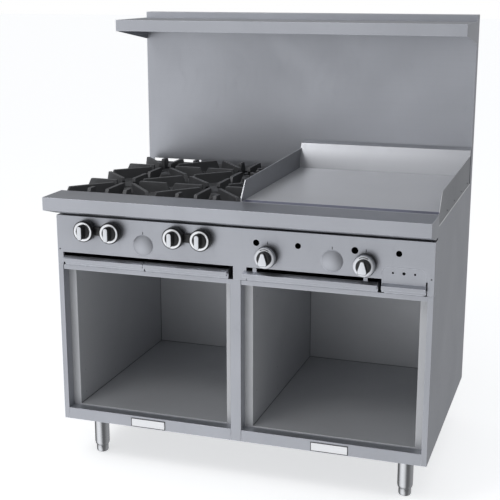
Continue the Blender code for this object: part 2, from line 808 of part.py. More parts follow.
def build_legs():
    """Round legs with feet that screw in and out for levelling."""
    top = LEG_HEIGHT - 0.0001
    leg_profile = [
        (0.0, FOOT_HEIGHT + GAP),
        (0.0215, FOOT_HEIGHT + GAP),
        (LEG_RADIUS, FOOT_HEIGHT + 0.008),
        (LEG_RADIUS, top),
        (0.0, top),
    ]
    foot_profile = [
        (0.0, 0.0),
        (0.0150, 0.0),
        (FOOT_RADIUS - 0.001, 0.0035),
        (FOOT_RADIUS, 0.0080),
        (FOOT_RADIUS, FOOT_HEIGHT),
        (0.0080, FOOT_HEIGHT),
        (0.0080, 0.055),
        (0.0, 0.055),
    ]
    first_leg = None
    first_foot = None
    for row, depth in zip(("front", "rear"), LEG_DEPTHS):
        for side, x in (("left", -LEG_X), ("right", LEG_X)):
            origin = (x, behind(depth), 0.0)
            if first_leg:
                twin(first_leg, f"leg_{row}_{side}", origin)
                twin(first_foot, f"foot_{row}_{side}", origin)
                continue
            first_leg = node(f"leg_{row}_{side}", turned(leg_profile, "Z", ROUND), CHROME,
                             origin, smooth=True)
            cut(first_leg, rod("Z", 0.0084, (0.0, 0.0, 0.0), 0.060, COARSE))
            first_foot = node(f"foot_{row}_{side}", turned(foot_profile, "Z", COARSE), CHROME,
                              origin, smooth=True)


def build_trim():
    """Low domed blanking plugs and two plain nameplates."""
    dome = [(0.0, -GAP), (KNOB_RADIUS, -GAP), (KNOB_RADIUS, -DOME_RIM)]
    steps = 5
    for step in range(1, steps + 1):
        angle = step / steps * math.pi / 2
        dome.append((KNOB_RADIUS * math.cos(angle), -DOME_RIM - DOME_RISE * math.sin(angle)))
    dome[-1] = (0.0, dome[-1][1])
    left = node("panel_plug_left", turned(dome, "Y", ROUND), STEEL,
                (PLUG_X[0], behind(0.0), PLUG_Z), smooth=True)
    twin(left, "panel_plug_right", (PLUG_X[1], behind(0.0), PLUG_Z))
    half_x, half_z = PLATE_HALF
    badge = block((-half_x, -PLATE_RISE, -half_z), (half_x, -GAP, half_z))
    plate = node("nameplate_left", badge, NAMEPLATE, (-PLATE_X, behind(0.0), PLATE_Z))
    twin(plate, "nameplate_right", (PLATE_X, behind(0.0), PLATE_Z))


def main():
    clear_scene()
    build_side_panels()
    build_base_and_rear()
    build_liners()
    build_front_frame()
    build_control_panel()
    build_plate_rail()
    build_top_frame()
    build_trays()
    build_grates()
    build_burners()
    build_knobs()
    build_manifold()
    build_griddle()
    build_guard_and_shelf()
    build_legs()
    build_trim()


main()
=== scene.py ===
"""Looks of a 48 inch commercial gas range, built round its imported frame.

Sheet steel pieces are worked copies of the frame's own sheets, with rolled folds and
dressed edges. Castings, knobs, legs and small fittings are modelled here.
Metres, +Z up, -Y is the cook's side.
"""

import logging
import math
from dataclasses import dataclass, field
from enum import Enum
from typing import Callable, Sequence

import bmesh
import bpy
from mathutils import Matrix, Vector


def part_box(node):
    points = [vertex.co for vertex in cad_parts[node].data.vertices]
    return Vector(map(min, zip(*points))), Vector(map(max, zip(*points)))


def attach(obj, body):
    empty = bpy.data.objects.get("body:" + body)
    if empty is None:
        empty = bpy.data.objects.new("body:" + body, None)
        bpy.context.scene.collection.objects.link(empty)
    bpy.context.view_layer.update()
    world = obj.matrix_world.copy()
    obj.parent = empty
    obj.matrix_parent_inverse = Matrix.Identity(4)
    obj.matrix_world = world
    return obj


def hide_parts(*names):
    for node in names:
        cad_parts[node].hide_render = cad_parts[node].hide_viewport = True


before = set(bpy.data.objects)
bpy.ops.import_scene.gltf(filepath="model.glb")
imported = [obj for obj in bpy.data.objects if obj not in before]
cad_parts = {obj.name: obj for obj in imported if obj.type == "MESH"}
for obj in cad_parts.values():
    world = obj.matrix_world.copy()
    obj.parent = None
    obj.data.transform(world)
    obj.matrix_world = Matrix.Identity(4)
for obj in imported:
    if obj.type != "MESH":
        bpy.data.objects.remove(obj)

Point = tuple[float, float, float]
Span = tuple[float, float]
Colour = tuple[float, float, float]

log = logging.getLogger("range")
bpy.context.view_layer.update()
ROOT = "range_body"

PANEL_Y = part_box("control_panel")[0][1]
ROUND_SIDES = 64
SCREW_SIDES = 24
FLUTE_SIDES = 12
MERGE = 0.00001
FINE_MERGE = MERGE / 10
STEMS = ("front_left", "rear_left", "front_right", "rear_right", "left", "right")


def behind(depth: float) -> float:
    """Return the y of a plane this far behind the control panel's face."""
    return PANEL_Y + depth


class Axis(Enum):
    """Directions that a turned piece can point, as X and Y turns from +Z."""

    UP = (0.0, 0.0)
    TO_COOK = (math.pi / 2, 0.0)
    TO_RIGHT = (0.0, math.pi / 2)


class Grain(Enum):
    """Direction of the brushed lines: the small number is along the lines."""

    ACROSS = (5.0, 420.0, 420.0)
    DEEP = (420.0, 5.0, 420.0)
    UPRIGHT = (420.0, 420.0, 5.0)


# ---------------------------------------------------------------- bench tools


def deselect() -> None:
    """Leave edit mode and select nothing."""
    if bpy.context.mode != "OBJECT":
        bpy.ops.object.mode_set(mode="OBJECT")
    bpy.ops.object.select_all(action="DESELECT")


def take(piece: bpy.types.Object) -> bpy.types.Object:
    """Make a piece the only selected one, and the active one.

    Args:
        piece: The object to work on.

    Returns:
        The same object.
    """
    deselect()
    piece.select_set(True)
    bpy.context.view_layer.objects.active = piece
    return piece


def settle(piece: bpy.types.Object) -> bpy.types.Object:
    """Put a piece's place, turn and scale into its mesh."""
    take(piece)
    bpy.ops.object.transform_apply(location=True, rotation=True, scale=True)
    return piece


def named(name: str) -> bpy.types.Object:
    """Name the primitive that was just added and settle it."""
    piece = bpy.context.active_object
    piece.name = name
    piece.data.name = name
    return settle(piece)


def bar(name: str, low: Sequence[float], high: Sequence[float]) -> bpy.types.Object:
    """Add a square bar between two corners.

    Args:
        name: Name of the piece.
        low: Lowest corner.
        high: Highest corner.

    Returns:
        The new object.
    """
    deselect()
    centre = [(a + b) / 2 for a, b in zip(low, high)]
    size = [b - a for a, b in zip(low, high)]
    bpy.ops.mesh.primitive_cube_add(size=1.0, location=centre, scale=size)
    return named(name)


def slab(name: str, x: Span, depth: Span, z: Span) -> bpy.types.Object:
    """Add a square bar by its spans, its depth counted from the control panel."""
    return bar(name, (x[0], behind(depth[0]), z[0]), (x[1], behind(depth[1]), z[1]))


def turn(
    name: str,
    profile: Sequence[tuple[float, float]],
    centre: Point = (0.0, 0.0, 0.0),
    axis: Axis = Axis.UP,
    sides: int = ROUND_SIDES,
) -> bpy.types.Object:
    """Turn a round piece by drawing a disc out ring by ring.

    Args:
        name: Name of the piece.
        profile: Pairs of radius and height; every radius is above zero.
        centre: Where height zero lies.
        axis: Direction in which height grows.
        sides: Number of sides.

    Returns:
        The new object.
    """
    deselect()
    radius, height = profile[0]
    bpy.ops.mesh.primitive_circle_add(
        vertices=sides, radius=radius, fill_type="NGON", location=(0.0, 0.0, height)
    )
    piece = named(name)
    bpy.ops.object.mode_set(mode="EDIT")
    bpy.ops.mesh.select_all(action="SELECT")
    for next_radius, next_height in profile[1:]:
        rise = (0.0, 0.0, next_height - height)
        bpy.ops.mesh.extrude_region_move(TRANSFORM_OT_translate={"value": rise})
        scale = next_radius / radius
        if abs(scale - 1.0) > 1e-9:
            bpy.ops.transform.resize(
                value=(scale, scale, 1.0), center_override=(0.0, 0.0, next_height)
            )
        radius, height = next_radius, next_height
    bpy.ops.mesh.select_all(action="SELECT")
    bpy.ops.mesh.remove_doubles(threshold=FINE_MERGE)
    bpy.ops.mesh.normals_make_consistent(inside=False)
    bpy.ops.object.mode_set(mode="OBJECT")
    return pointed(piece, axis, centre)


def pick_edges(piece: bpy.types.Object, wanted: Callable[[bmesh.types.BMEdge], bool]) -> int:
    """Go into edit mode with only the wanted edges selected.

    Args:
        piece: The object to edit.
        wanted: Says of an edge whether it is selected.

    Returns:
        How many edges are selected.
    """
    take(piece)
    bpy.ops.object.mode_set(mode="EDIT")
    bpy.ops.mesh.select_mode(type="EDGE")
    bpy.ops.mesh.select_all(action="DESELECT")
    work = bmesh.from_edit_mesh(piece.data)
    chosen = [edge for edge in work.edges if wanted(edge)]
    for edge in chosen:
        edge.select_set(True)
    bmesh.update_edit_mesh(piece.data)
    return len(chosen)


def round_edges(
    piece: bpy.types.Object,
    radius: float,
    wanted: Callable[[bmesh.types.BMEdge], bool],
    segments: int = 4,
) -> None:
    """Round the wanted edges of a piece to a radius."""
    if pick_edges(piece, wanted):
        bpy.ops.mesh.bevel(
            offset=radius, offset_type="OFFSET", segments=segments, affect="EDGES", clamp_overlap=True
        )
    bpy.ops.object.mode_set(mode="OBJECT")


def bisect(piece: bpy.types.Object, point: Point, normal: Point) -> None:
    """Saw a piece through at a plane and throw away the side the normal points to."""
    take(piece)
    bpy.ops.object.mode_set(mode="EDIT")
    bpy.ops.mesh.select_all(action="SELECT")
    bpy.ops.mesh.bisect(plane_co=point, plane_no=normal, use_fill=True, clear_outer=True)
    bpy.ops.object.mode_set(mode="OBJECT")


def modify(piece: bpy.types.Object, kind: str, **settings: object) -> None:
    """Add a modifier with these settings and apply it."""
    take(piece)
    modifier = piece.modifiers.new(kind.lower(), kind)
    for name, value in settings.items():
        setattr(modifier, name, value)
    bpy.ops.object.modifier_apply(modifier=modifier.name)


def carve(piece: bpy.types.Object, tool: bpy.types.Object, operation: str = "DIFFERENCE") -> None:
    """Cut a tool's shape out of a piece, or weld it on, and remove the tool."""
    modify(piece, "BOOLEAN", operation=operation, object=tool, solver="EXACT")
    bpy.data.objects.remove(tool, do_unlink=True)


def dress_edges(piece: bpy.types.Object, width: float, segments: int = 2, angle: float = 35.0) -> None:
    """Break every sharp edge by a small bevel."""
    modify(
        piece, "BEVEL", width=width, segments=segments, limit_method="ANGLE",
        angle_limit=math.radians(angle), use_clamp_overlap=True, miter_outer="MITER_ARC",
    )


def smooth(piece: bpy.types.Object, angle: float = 40.0) -> None:
    """Merge stray points, face the surface outward and shade it smooth up to an angle."""
    take(piece)
    bpy.ops.object.mode_set(mode="EDIT")
    bpy.ops.mesh.select_all(action="SELECT")
    bpy.ops.mesh.remove_doubles(threshold=FINE_MERGE)
    bpy.ops.mesh.normals_make_consistent(inside=False)
    bpy.ops.object.mode_set(mode="OBJECT")
    bpy.ops.object.shade_smooth_by_angle(angle=math.radians(angle))


def weigh_normals(piece: bpy.types.Object) -> None:
    """Let the large flat faces keep flat shading beside their rounded edges."""
    modify(piece, "WEIGHTED_NORMAL", mode="FACE_AREA", weight=50, keep_sharp=True)


def joined(name: str, pieces: Sequence[bpy.types.Object]) -> bpy.types.Object:
    """Join several objects into one mesh.

    Args:
        name: Name of the joined piece.
        pieces: The objects to join.

    Returns:
        The joined object.
    """
    deselect()
    for piece in pieces:
        piece.select_set(True)
    bpy.context.view_layer.objects.active = pieces[0]
    if len(pieces) > 1:
        bpy.ops.object.join()
    whole = bpy.context.view_layer.objects.active
    whole.name = name
    whole.data.name = name
    return whole


def copied(piece: bpy.types.Object, name: str, shift: Sequence[float]) -> bpy.types.Object:
    """Copy a piece with its own mesh, moved by a shift.

    Args:
        piece: The pattern.
        name: Name of the copy.
        shift: How far the copy lies from the pattern.

    Returns:
        The copy.
    """
    take(piece)
    bpy.ops.object.duplicate(linked=False)
    copy = bpy.context.active_object
    copy.name = name
    copy.data.name = name
    copy.location = Vector(shift)
    return settle(copy)


def spun(piece: bpy.types.Object, angle: float) -> bpy.types.Object:
    """Turn a piece about the upright axis through the origin, and settle it."""
    piece.rotation_euler = (0.0, 0.0, angle)
    return settle(piece)


def pointed(piece: bpy.types.Object, axis: Axis, centre: Sequence[float]) -> bpy.types.Object:
    """Point a piece that was made upward along an axis, and settle it at its place."""
    piece.rotation_euler = (*axis.value, 0.0)
    piece.location = centre
    return settle(piece)


def cleared(*patterns: bpy.types.Object) -> None:
    """Remove patterns whose copies are in place."""
    for pattern in patterns:
        bpy.data.objects.remove(pattern, do_unlink=True)


def middle_of(node: str) -> Point:
    """Return the x and y of a frame node's middle, at height zero."""
    low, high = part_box(node)
    return ((low[0] + high[0]) / 2, (low[1] + high[1]) / 2, 0.0)


def mount(
    piece: bpy.types.Object, body: str, material: bpy.types.Material | None = None
) -> None:
    """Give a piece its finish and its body.

    Args:
        piece: The finished piece.
        body: The frame body it moves with.
        material: The finish, or None to keep what it has.
    """
    if material is not None:
        piece.data.materials.clear()
        piece.data.materials.append(material)
    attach(piece, body)
    log.info("%s rides on %s", piece.name, body)


# ------------------------------------------------------------------- finishes


class Graph:
    """A small helper for wiring shader nodes."""

    def __init__(self, tree: bpy.types.NodeTree) -> None:
        """Keep the tree that nodes are added to."""
        self.tree = tree

    def add(self, kind: str, **values: object) -> bpy.types.Node:
        """Add a node; values are its properties, or its inputs by socket name.

        Args:
            kind: Blender's node type.
            **values: Properties, or inputs with spaces written as underscores.

        Returns:
            The new node.
        """
        made = self.tree.nodes.new(kind)
        for name, value in values.items():
            if hasattr(made, name):
                setattr(made, name, value)
            else:
                made.inputs[name.replace("_", " ")].default_value = value
        return made

    def wire(self, source: bpy.types.NodeSocket, target: bpy.types.NodeSocket) -> None:
        """Link an output to an input."""
        self.tree.links.new(source, target)

    def maths(self, operation: str, first: object, second: object = 0.0) -> bpy.types.NodeSocket:
        """Add a Math node on two values or sockets and return its output."""
        made = self.tree.nodes.new("ShaderNodeMath")
        made.operation = operation
        for socket, value in zip(made.inputs, (first, second)):
            if isinstance(value, bpy.types.NodeSocket):
                self.wire(value, socket)
            else:
                socket.default_value = value
        return made.outputs[0]

    def scaled(self, value: object, factor: float, base: object) -> bpy.types.NodeSocket:
        """Multiply a value by a factor, add a base, and return the result's socket."""
        result = self.maths("MULTIPLY_ADD", value, factor)
        if isinstance(base, bpy.types.NodeSocket):
            self.wire(base, result.node.inputs[2])
        else:
            result.node.inputs[2].default_value = base
        return result

    def ramp(
        self, source: bpy.types.NodeSocket, stops: Sequence[tuple[float, float]]
    ) -> bpy.types.NodeSocket:
        """Remap a value by grey stops of position and level."""
        made = self.tree.nodes.new("ShaderNodeValToRGB")
        elements = made.color_ramp.elements
        while len(elements) < len(stops):
            elements.new(0.5)
        for element, (position, level) in zip(elements, stops):
            element.position = position
            element.color = (level, level, level, 1.0)
        self.wire(source, made.inputs[0])
        return made.outputs[0]

    def mix(self, factor: object, first: object, second: object) -> bpy.types.NodeSocket:
        """Mix two colours and return the result's socket."""
        made = self.tree.nodes.new("ShaderNodeMix")
        made.data_type = "RGBA"
        pairs = ((made.inputs[0], factor), (made.inputs[6], first), (made.inputs[7], second))
        for socket, value in pairs:
            if isinstance(value, bpy.types.NodeSocket):
                self.wire(value, socket)
            elif isinstance(value, (int, float)):
                socket.default_value = value
            else:
                socket.default_value = (*value, 1.0)
        return made.outputs[2]


def new_group(
    name: str, inputs: Sequence[tuple[str, str, object]], outputs: Sequence[str]
) -> tuple[bpy.types.NodeTree, Graph, bpy.types.Node, bpy.types.Node]:
    """Start a shader node group.

    Args:
        name: Name of the group.
        inputs: Name, socket kind and default of each input.
        outputs: Name of each output; all are numbers.

    Returns:
        The group, its graph, its input node and its output node.
    """
    group = bpy.data.node_groups.new(name, "ShaderNodeTree")
    for label, kind, default in inputs:
        socket = group.interface.new_socket(label, in_out="INPUT", socket_type=kind)
        socket.default_value = default
    for label in outputs:
        group.interface.new_socket(label, in_out="OUTPUT", socket_type="NodeSocketFloat")
    graph = Graph(group)
    return group, graph, graph.add("NodeGroupInput"), graph.add("NodeGroupOutput")


def brushed_group() -> bpy.types.NodeTree:
    """Build the fine lines that a belt leaves on sheet steel."""
    group, graph, given, result = new_group(
        "brushed_grain",
        [("Along", "NodeSocketVector", (5.0, 420.0, 420.0)), ("Depth", "NodeSocketFloat", 1.0)],
        ["Height", "Streak"],
    )
    place = graph.add("ShaderNodeTexCoord")
    stretch = graph.add("ShaderNodeVectorMath", operation="MULTIPLY")
    graph.wire(place.outputs["Object"], stretch.inputs[0])
    graph.wire(given.outputs["Along"], stretch.inputs[1])
    fine = graph.add("ShaderNodeTexNoise", Scale=6.0, Detail=3.0, Roughness=0.7)
    broad = graph.add("ShaderNodeTexNoise", Scale=0.9, Detail=2.0, Roughness=0.5)
    graph.wire(stretch.outputs[0], fine.inputs["Vector"])
    graph.wire(stretch.outputs[0], broad.inputs["Vector"])
    both = graph.maths("ADD", fine.outputs["Fac"], broad.outputs["Fac"])
    graph.wire(graph.maths("MULTIPLY", both, given.outputs["Depth"]), result.inputs["Height"])
    graph.wire(graph.maths("MULTIPLY", both, 0.5), result.inputs["Streak"])
    return group


def handling_group() -> bpy.types.NodeTree:
    """Build soft smears and fine scratches from wiping and use."""
    group, graph, given, result = new_group(
        "handling_marks", [("Size", "NodeSocketFloat", 4.0)], ["Smear", "Scratch"]
    )
    place = graph.add("ShaderNodeTexCoord")
    cloud = graph.add("ShaderNodeTexNoise", Detail=4.0, Roughness=0.55, Distortion=0.6)
    graph.wire(place.outputs["Object"], cloud.inputs["Vector"])
    graph.wire(given.outputs["Size"], cloud.inputs["Scale"])
    graph.wire(graph.ramp(cloud.outputs["Fac"], [(0.36, 0.0), (0.66, 1.0)]), result.inputs["Smear"])
    lines = graph.add("ShaderNodeTexWave", Scale=9.0, Distortion=14.0, Detail=3.0)
    graph.wire(place.outputs["Object"], lines.inputs["Vector"])
    graph.wire(graph.ramp(lines.outputs["Fac"], [(0.985, 0.0), (1.0, 1.0)]), result.inputs["Scratch"])
    return group


def worn_lit_edges_group() -> bpy.types.NodeTree:
    """Build a mask of the edges: where hands and pans rub a surface bright, and where a painted
    highlight lines the edges.
    """
    group, graph, given, result = new_group(
        "edge_wear_and_painted_highlight",
        [("Reach", "NodeSocketFloat", 0.0015), ("Amount", "NodeSocketFloat", 1.0)],
        ["Edge"],
    )
    rounded = graph.add("ShaderNodeBevel", samples=4)
    graph.wire(given.outputs["Reach"], rounded.inputs["Radius"])
    surface = graph.add("ShaderNodeNewGeometry")
    match = graph.add("ShaderNodeVectorMath", operation="DOT_PRODUCT")
    graph.wire(rounded.outputs[0], match.inputs[0])
    graph.wire(surface.outputs["Normal"], match.inputs[1])
    turned_away = graph.maths("SUBTRACT", 1.0, match.outputs["Value"])
    spread = graph.ramp(turned_away, [(0.01, 0.0), (0.18, 1.0)])
    place = graph.add("ShaderNodeTexCoord")
    patchy = graph.add("ShaderNodeTexNoise", Scale=60.0, Detail=3.0)
    graph.wire(place.outputs["Object"], patchy.inputs["Vector"])
    worn_and_lit = graph.ramp(patchy.outputs["Fac"], [(0.3, 0.4), (0.6, 1.0)])
    broken = graph.maths("MULTIPLY", spread, worn_and_lit)
    # This edge mask carries real rubbing wear and a painted highlight along the edges.
    graph.wire(graph.maths("MULTIPLY", broken, given.outputs["Amount"]), result.inputs["Edge"])
    return group


def casting_group() -> bpy.types.NodeTree:
    """Build the sandy skin of an iron casting."""
    group, graph, given, result = new_group(
        "cast_skin", [("Size", "NodeSocketFloat", 420.0)], ["Height", "Tone"]
    )
    place = graph.add("ShaderNodeTexCoord")
    sand = graph.add("ShaderNodeTexNoise", Detail=5.0, Roughness=0.6)
    graph.wire(place.outputs["Object"], sand.inputs["Vector"])
    graph.wire(given.outputs["Size"], sand.inputs["Scale"])
    pits = graph.add("ShaderNodeTexVoronoi", Scale=170.0)
    graph.wire(place.outputs["Object"], pits.inputs["Vector"])
    dents = graph.ramp(pits.outputs["Distance"], [(0.0, 0.0), (0.35, 1.0)])
    graph.wire(graph.maths("ADD", sand.outputs["Fac"], dents), result.inputs["Height"])
    patches = graph.add("ShaderNodeTexNoise", Scale=16.0, Detail=4.0)
    graph.wire(place.outputs["Object"], patches.inputs["Vector"])
    graph.wire(patches.outputs["Fac"], result.inputs["Tone"])
    return group


class Effects:
    """The shared shader node groups, each built once."""

    def __init__(self) -> None:
        """Build every group."""
        self.brushed = brushed_group()
        self.handling = handling_group()
        self.worn_lit_edges = worn_lit_edges_group()
        self.casting = casting_group()


def placed(graph: Graph, group: bpy.types.NodeTree, **values: object) -> bpy.types.Node:
    """Place a group in a material with its own input values.

    Args:
        graph: The material's graph.
        group: The node group.
        **values: Input values by socket name.

    Returns:
        The group's node.
    """
    made = graph.add("ShaderNodeGroup")
    made.node_tree = group
    for name, value in values.items():
        made.inputs[name].default_value = value
    return made


def toned(colour: Colour, factor: float) -> Colour:
    """Return a colour made darker or lighter, at most white."""
    return tuple(min(1.0, factor * part) for part in colour)


@dataclass(frozen=True)
class Finish:
    """A surface finish with a plain base; the kinds below add their detail."""

    name: str
    colour: Colour
    roughness: float
    metallic: float

    def start(self) -> tuple[bpy.types.Material, Graph, bpy.types.Node]:
        """Make the material and set its constants.

        Returns:
            The material, its graph and its shader.
        """
        material = bpy.data.materials.new(self.name)
        material.use_nodes = True
        graph = Graph(material.node_tree)
        shader = material.node_tree.nodes["Principled BSDF"]
        shader.inputs["Base Color"].default_value = (*self.colour, 1.0)
        shader.inputs["Roughness"].default_value = self.roughness
        shader.inputs["Metallic"].default_value = self.metallic
        return material, graph, shader

    def bump(
        self, graph: Graph, shader: bpy.types.Node, height: bpy.types.NodeSocket, depth: float
    ) -> None:
        """Feed a height to the shader's normal, with depth in metres."""
        relief = graph.add("ShaderNodeBump", Strength=1.0, Distance=depth)
        graph.wire(height, relief.inputs["Height"])
        graph.wire(relief.outputs["Normal"], shader.inputs["Normal"])

    def build(self, effects: Effects) -> bpy.types.Material:
        """Build the material.

        Args:
            effects: The shared node groups.

        Returns:
            The finished material.
        """
        material, graph, shader = self.start()
        marks = placed(graph, effects.handling, Size=30.0)
        rough = graph.scaled(marks.outputs["Smear"], 0.10, self.roughness)
        graph.wire(rough, shader.inputs["Roughness"])
        tone = graph.mix(marks.outputs["Smear"], self.colour, toned(self.colour, 0.8))
        graph.wire(tone, shader.inputs["Base Color"])
        return material


@dataclass(frozen=True)
class BrushedSteel(Finish):
    """Belt-brushed stainless sheet."""

    grain: Grain = Grain.ACROSS
    smear: float = 0.07
    # edge_light sets how strongly the edges are painted bright: a painted highlight together with
    # rubbing wear.
    edge_light: float = 0.9
    scratch: float = 0.06
    relief: float = 0.000012

    def build(self, effects: Effects) -> bpy.types.Material:
        """Build brushed lines, wiping smears and bright edges: a painted highlight together with
        rubbing wear.
        """
        material, graph, shader = self.start()
        lines = placed(graph, effects.brushed, Along=self.grain.value)
        marks = placed(graph, effects.handling, Size=3.2)
        edges = placed(graph, effects.worn_lit_edges, Reach=0.0024, Amount=self.edge_light)
        low = toned(self.colour, 0.93)
        streaked = graph.mix(lines.outputs["Streak"], low, toned(self.colour, 1.05))
        wiped = graph.mix(graph.maths("MULTIPLY", marks.outputs["Smear"], 0.35), streaked, low)
        # Edges lightened towards white: a painted highlight along the folds, together with rubbing
        # wear.
        worn_and_lit = graph.mix(edges.outputs["Edge"], wiped, toned(self.colour, 1.9))
        graph.wire(worn_and_lit, shader.inputs["Base Color"])
        streaky = graph.scaled(lines.outputs["Streak"], 0.10, self.roughness - 0.05)
        smeared = graph.scaled(marks.outputs["Smear"], self.smear, streaky)
        scratched = graph.scaled(marks.outputs["Scratch"], self.scratch, smeared)
        graph.wire(scratched, shader.inputs["Roughness"])
        self.bump(graph, shader, lines.outputs["Height"], self.relief)
        return material


@dataclass(frozen=True)
class CastIron(Finish):
    """Grey iron casting with a sandy skin and paler edges, partly wear and partly a painted highlight.
    """

    edge_colour: Colour = (0.16, 0.16, 0.165)
    relief: float = 0.00025

    def build(self, effects: Effects) -> bpy.types.Material:
        """Build sand texture, patchy tone and paler edges: wear together with a painted highlight."""
        material, graph, shader = self.start()
        skin = placed(graph, effects.casting)
        edges = placed(graph, effects.worn_lit_edges, Reach=0.0022, Amount=0.8)
        patchy = graph.mix(skin.outputs["Tone"], toned(self.colour, 0.72), toned(self.colour, 1.3))
        # Edges paler: rubbing wear together with a painted highlight on the rib edges.
        worn_and_lit = graph.mix(edges.outputs["Edge"], patchy, self.edge_colour)
        graph.wire(worn_and_lit, shader.inputs["Base Color"])
        rough = graph.scaled(skin.outputs["Tone"], 0.18, self.roughness - 0.09)
        graph.wire(rough, shader.inputs["Roughness"])
        self.bump(graph, shader, skin.outputs["Height"], self.relief)
        return material


@dataclass(frozen=True)
class MouldedPlastic(Finish):
    """Hard moulded plastic with a very fine texture."""

    def build(self, effects: Effects) -> bpy.types.Material:
        """Build a faint moulding texture and finger marks."""
        material, graph, shader = self.start()
        skin = placed(graph, effects.casting, Size=900.0)
        marks = placed(graph, effects.handling, Size=45.0)
        rough = graph.scaled(marks.outputs["Smear"], 0.14, self.roughness)
        graph.wire(rough, shader.inputs["Roughness"])
        paler = tuple(part + 0.010 for part in self.colour)
        graph.wire(graph.mix(marks.outputs["Smear"], self.colour, paler), shader.inputs["Base Color"])
        shader.inputs["Coat Weight"].default_value = 0.06
        self.bump(graph, shader, skin.outputs["Height"], 0.00004)
        return material


@dataclass(frozen=True)
class PolishedMetal(Finish):
    """Plated or machined metal with faint swirl marks."""

    def build(self, effects: Effects) -> bpy.types.Material:
        """Build fine turning lines and finger marks."""
        material, graph, shader = self.start()
        lines = placed(graph, effects.brushed, Along=(300.0, 300.0, 900.0))
        marks = placed(graph, effects.handling, Size=22.0)
        rough = graph.scaled(marks.outputs["Smear"], 0.10, self.roughness)
        graph.wire(rough, shader.inputs["Roughness"])
        tone = graph.mix(lines.outputs["Streak"], toned(self.colour, 0.9), self.colour)
        graph.wire(tone, shader.inputs["Base Color"])
        self.bump(graph, shader, lines.outputs["Height"], 0.000006)
        return material


STEEL_COLOUR = (0.455, 0.468, 0.505)
DULL_COLOUR = (0.58, 0.59, 0.61)
FRONT_STEEL = BrushedSteel("front_steel", STEEL_COLOUR, 0.36, 0.85, Grain.ACROSS)
UPRIGHT_STEEL = BrushedSteel("upright_steel", STEEL_COLOUR, 0.36, 0.85, Grain.UPRIGHT)
SIDE_STEEL = BrushedSteel("side_steel", STEEL_COLOUR, 0.38, 0.85, Grain.DEEP)
LINER_STEEL = BrushedSteel("liner_steel", DULL_COLOUR, 0.44, 0.50, Grain.ACROSS, 0.10, 0.3)
GRIDDLE_STEEL = BrushedSteel(
    "griddle_steel", (0.74, 0.75, 0.775), 0.35, 0.52, Grain.DEEP, 0.03, 0.4, 0.0, 0.000002
)
BODY_STEEL = BrushedSteel("body_steel", (0.30, 0.305, 0.32), 0.48, 0.85, Grain.ACROSS, 0.10, 0.3)
# The grate iron's pale edge colour is wear together with a painted highlight.
IRON = CastIron("grate_iron", (0.105, 0.107, 0.112), 0.52, 0.30, (0.24, 0.24, 0.25))
BURNER_IRON = CastIron(
    "burner_iron", (0.075, 0.076, 0.079), 0.55, 0.35, (0.12, 0.12, 0.12), 0.00008
)
CHROME = PolishedMetal("leg_chrome", (0.66, 0.67, 0.69), 0.16, 1.0)
BRIGHT_RING = PolishedMetal("knob_ring", (0.92, 0.93, 0.95), 0.26, 1.0)
SKIRT_METAL = PolishedMetal("griddle_knob_skirt", (0.76, 0.775, 0.81), 0.30, 1.0)
SCREW_STEEL = PolishedMetal("screw_steel", (0.50, 0.51, 0.53), 0.30, 1.0)
DARK_SCREW = PolishedMetal("dark_screw", (0.10, 0.10, 0.105), 0.35, 1.0)
BLACK = MouldedPlastic("knob_black", (0.012, 0.012, 0.013), 0.34, 0.0)
INSERT = MouldedPlastic("knob_insert", (0.80, 0.82, 0.86), 0.38, 0.0)
INK = Finish("tick_ink", (0.03, 0.03, 0.035), 0.6, 0.0)
PLATE = MouldedPlastic("nameplate", (0.93, 0.94, 0.96), 0.35, 0.0)
# Darker, bluer steel for the sunk trough: painted shade inside the trough.
TROUGH_SHADE = BrushedSteel("trough_painted_shade", (0.40, 0.41, 0.50), 0.50, 0.6, Grain.ACROSS, 0.12, 0.2)
SPLASH_STEEL = BrushedSteel("splash_steel", (0.53, 0.54, 0.57), 0.38, 0.80, Grain.ACROSS, 0.07, 0.9)
# Darker copy of the splash steel for its side walls: painted shade.
SPLASH_SIDE_SHADE = BrushedSteel("splash_side_painted_shade", (0.31, 0.32, 0.343), 0.38, 0.85, Grain.DEEP)
# Near-white strip finish: a painted highlight on the side panels' top edges.
EDGE_HIGHLIGHT = BrushedSteel("painted_edge_highlight", (0.97, 0.98, 1.0), 0.40, 0.25, Grain.DEEP, 0.05, 0.0)
# Dark strips in the cabinet corners: painted shade along the corner joints.
SEAM_SHADE = Finish("seam_shadow", (0.05, 0.05, 0.055), 0.6, 0.3)
PIPE = CastIron("pipe_paint", (0.05, 0.05, 0.052), 0.5, 0.3, (0.10, 0.10, 0.10), 0.0001)


class Shop:
    """Builds each finish once and hands it out."""

    def __init__(self) -> None:
        """Build the shared effects."""
        self.effects = Effects()
        self.made: dict[str, bpy.types.Material] = {}

    def get(self, finish: Finish) -> bpy.types.Material:
        """Return the material of a finish, built on first use."""
        if finish.name not in self.made:
            self.made[finish.name] = finish.build(self.effects)
        return self.made[finish.name]


# ---------------------------------------------------------------- sheet metal


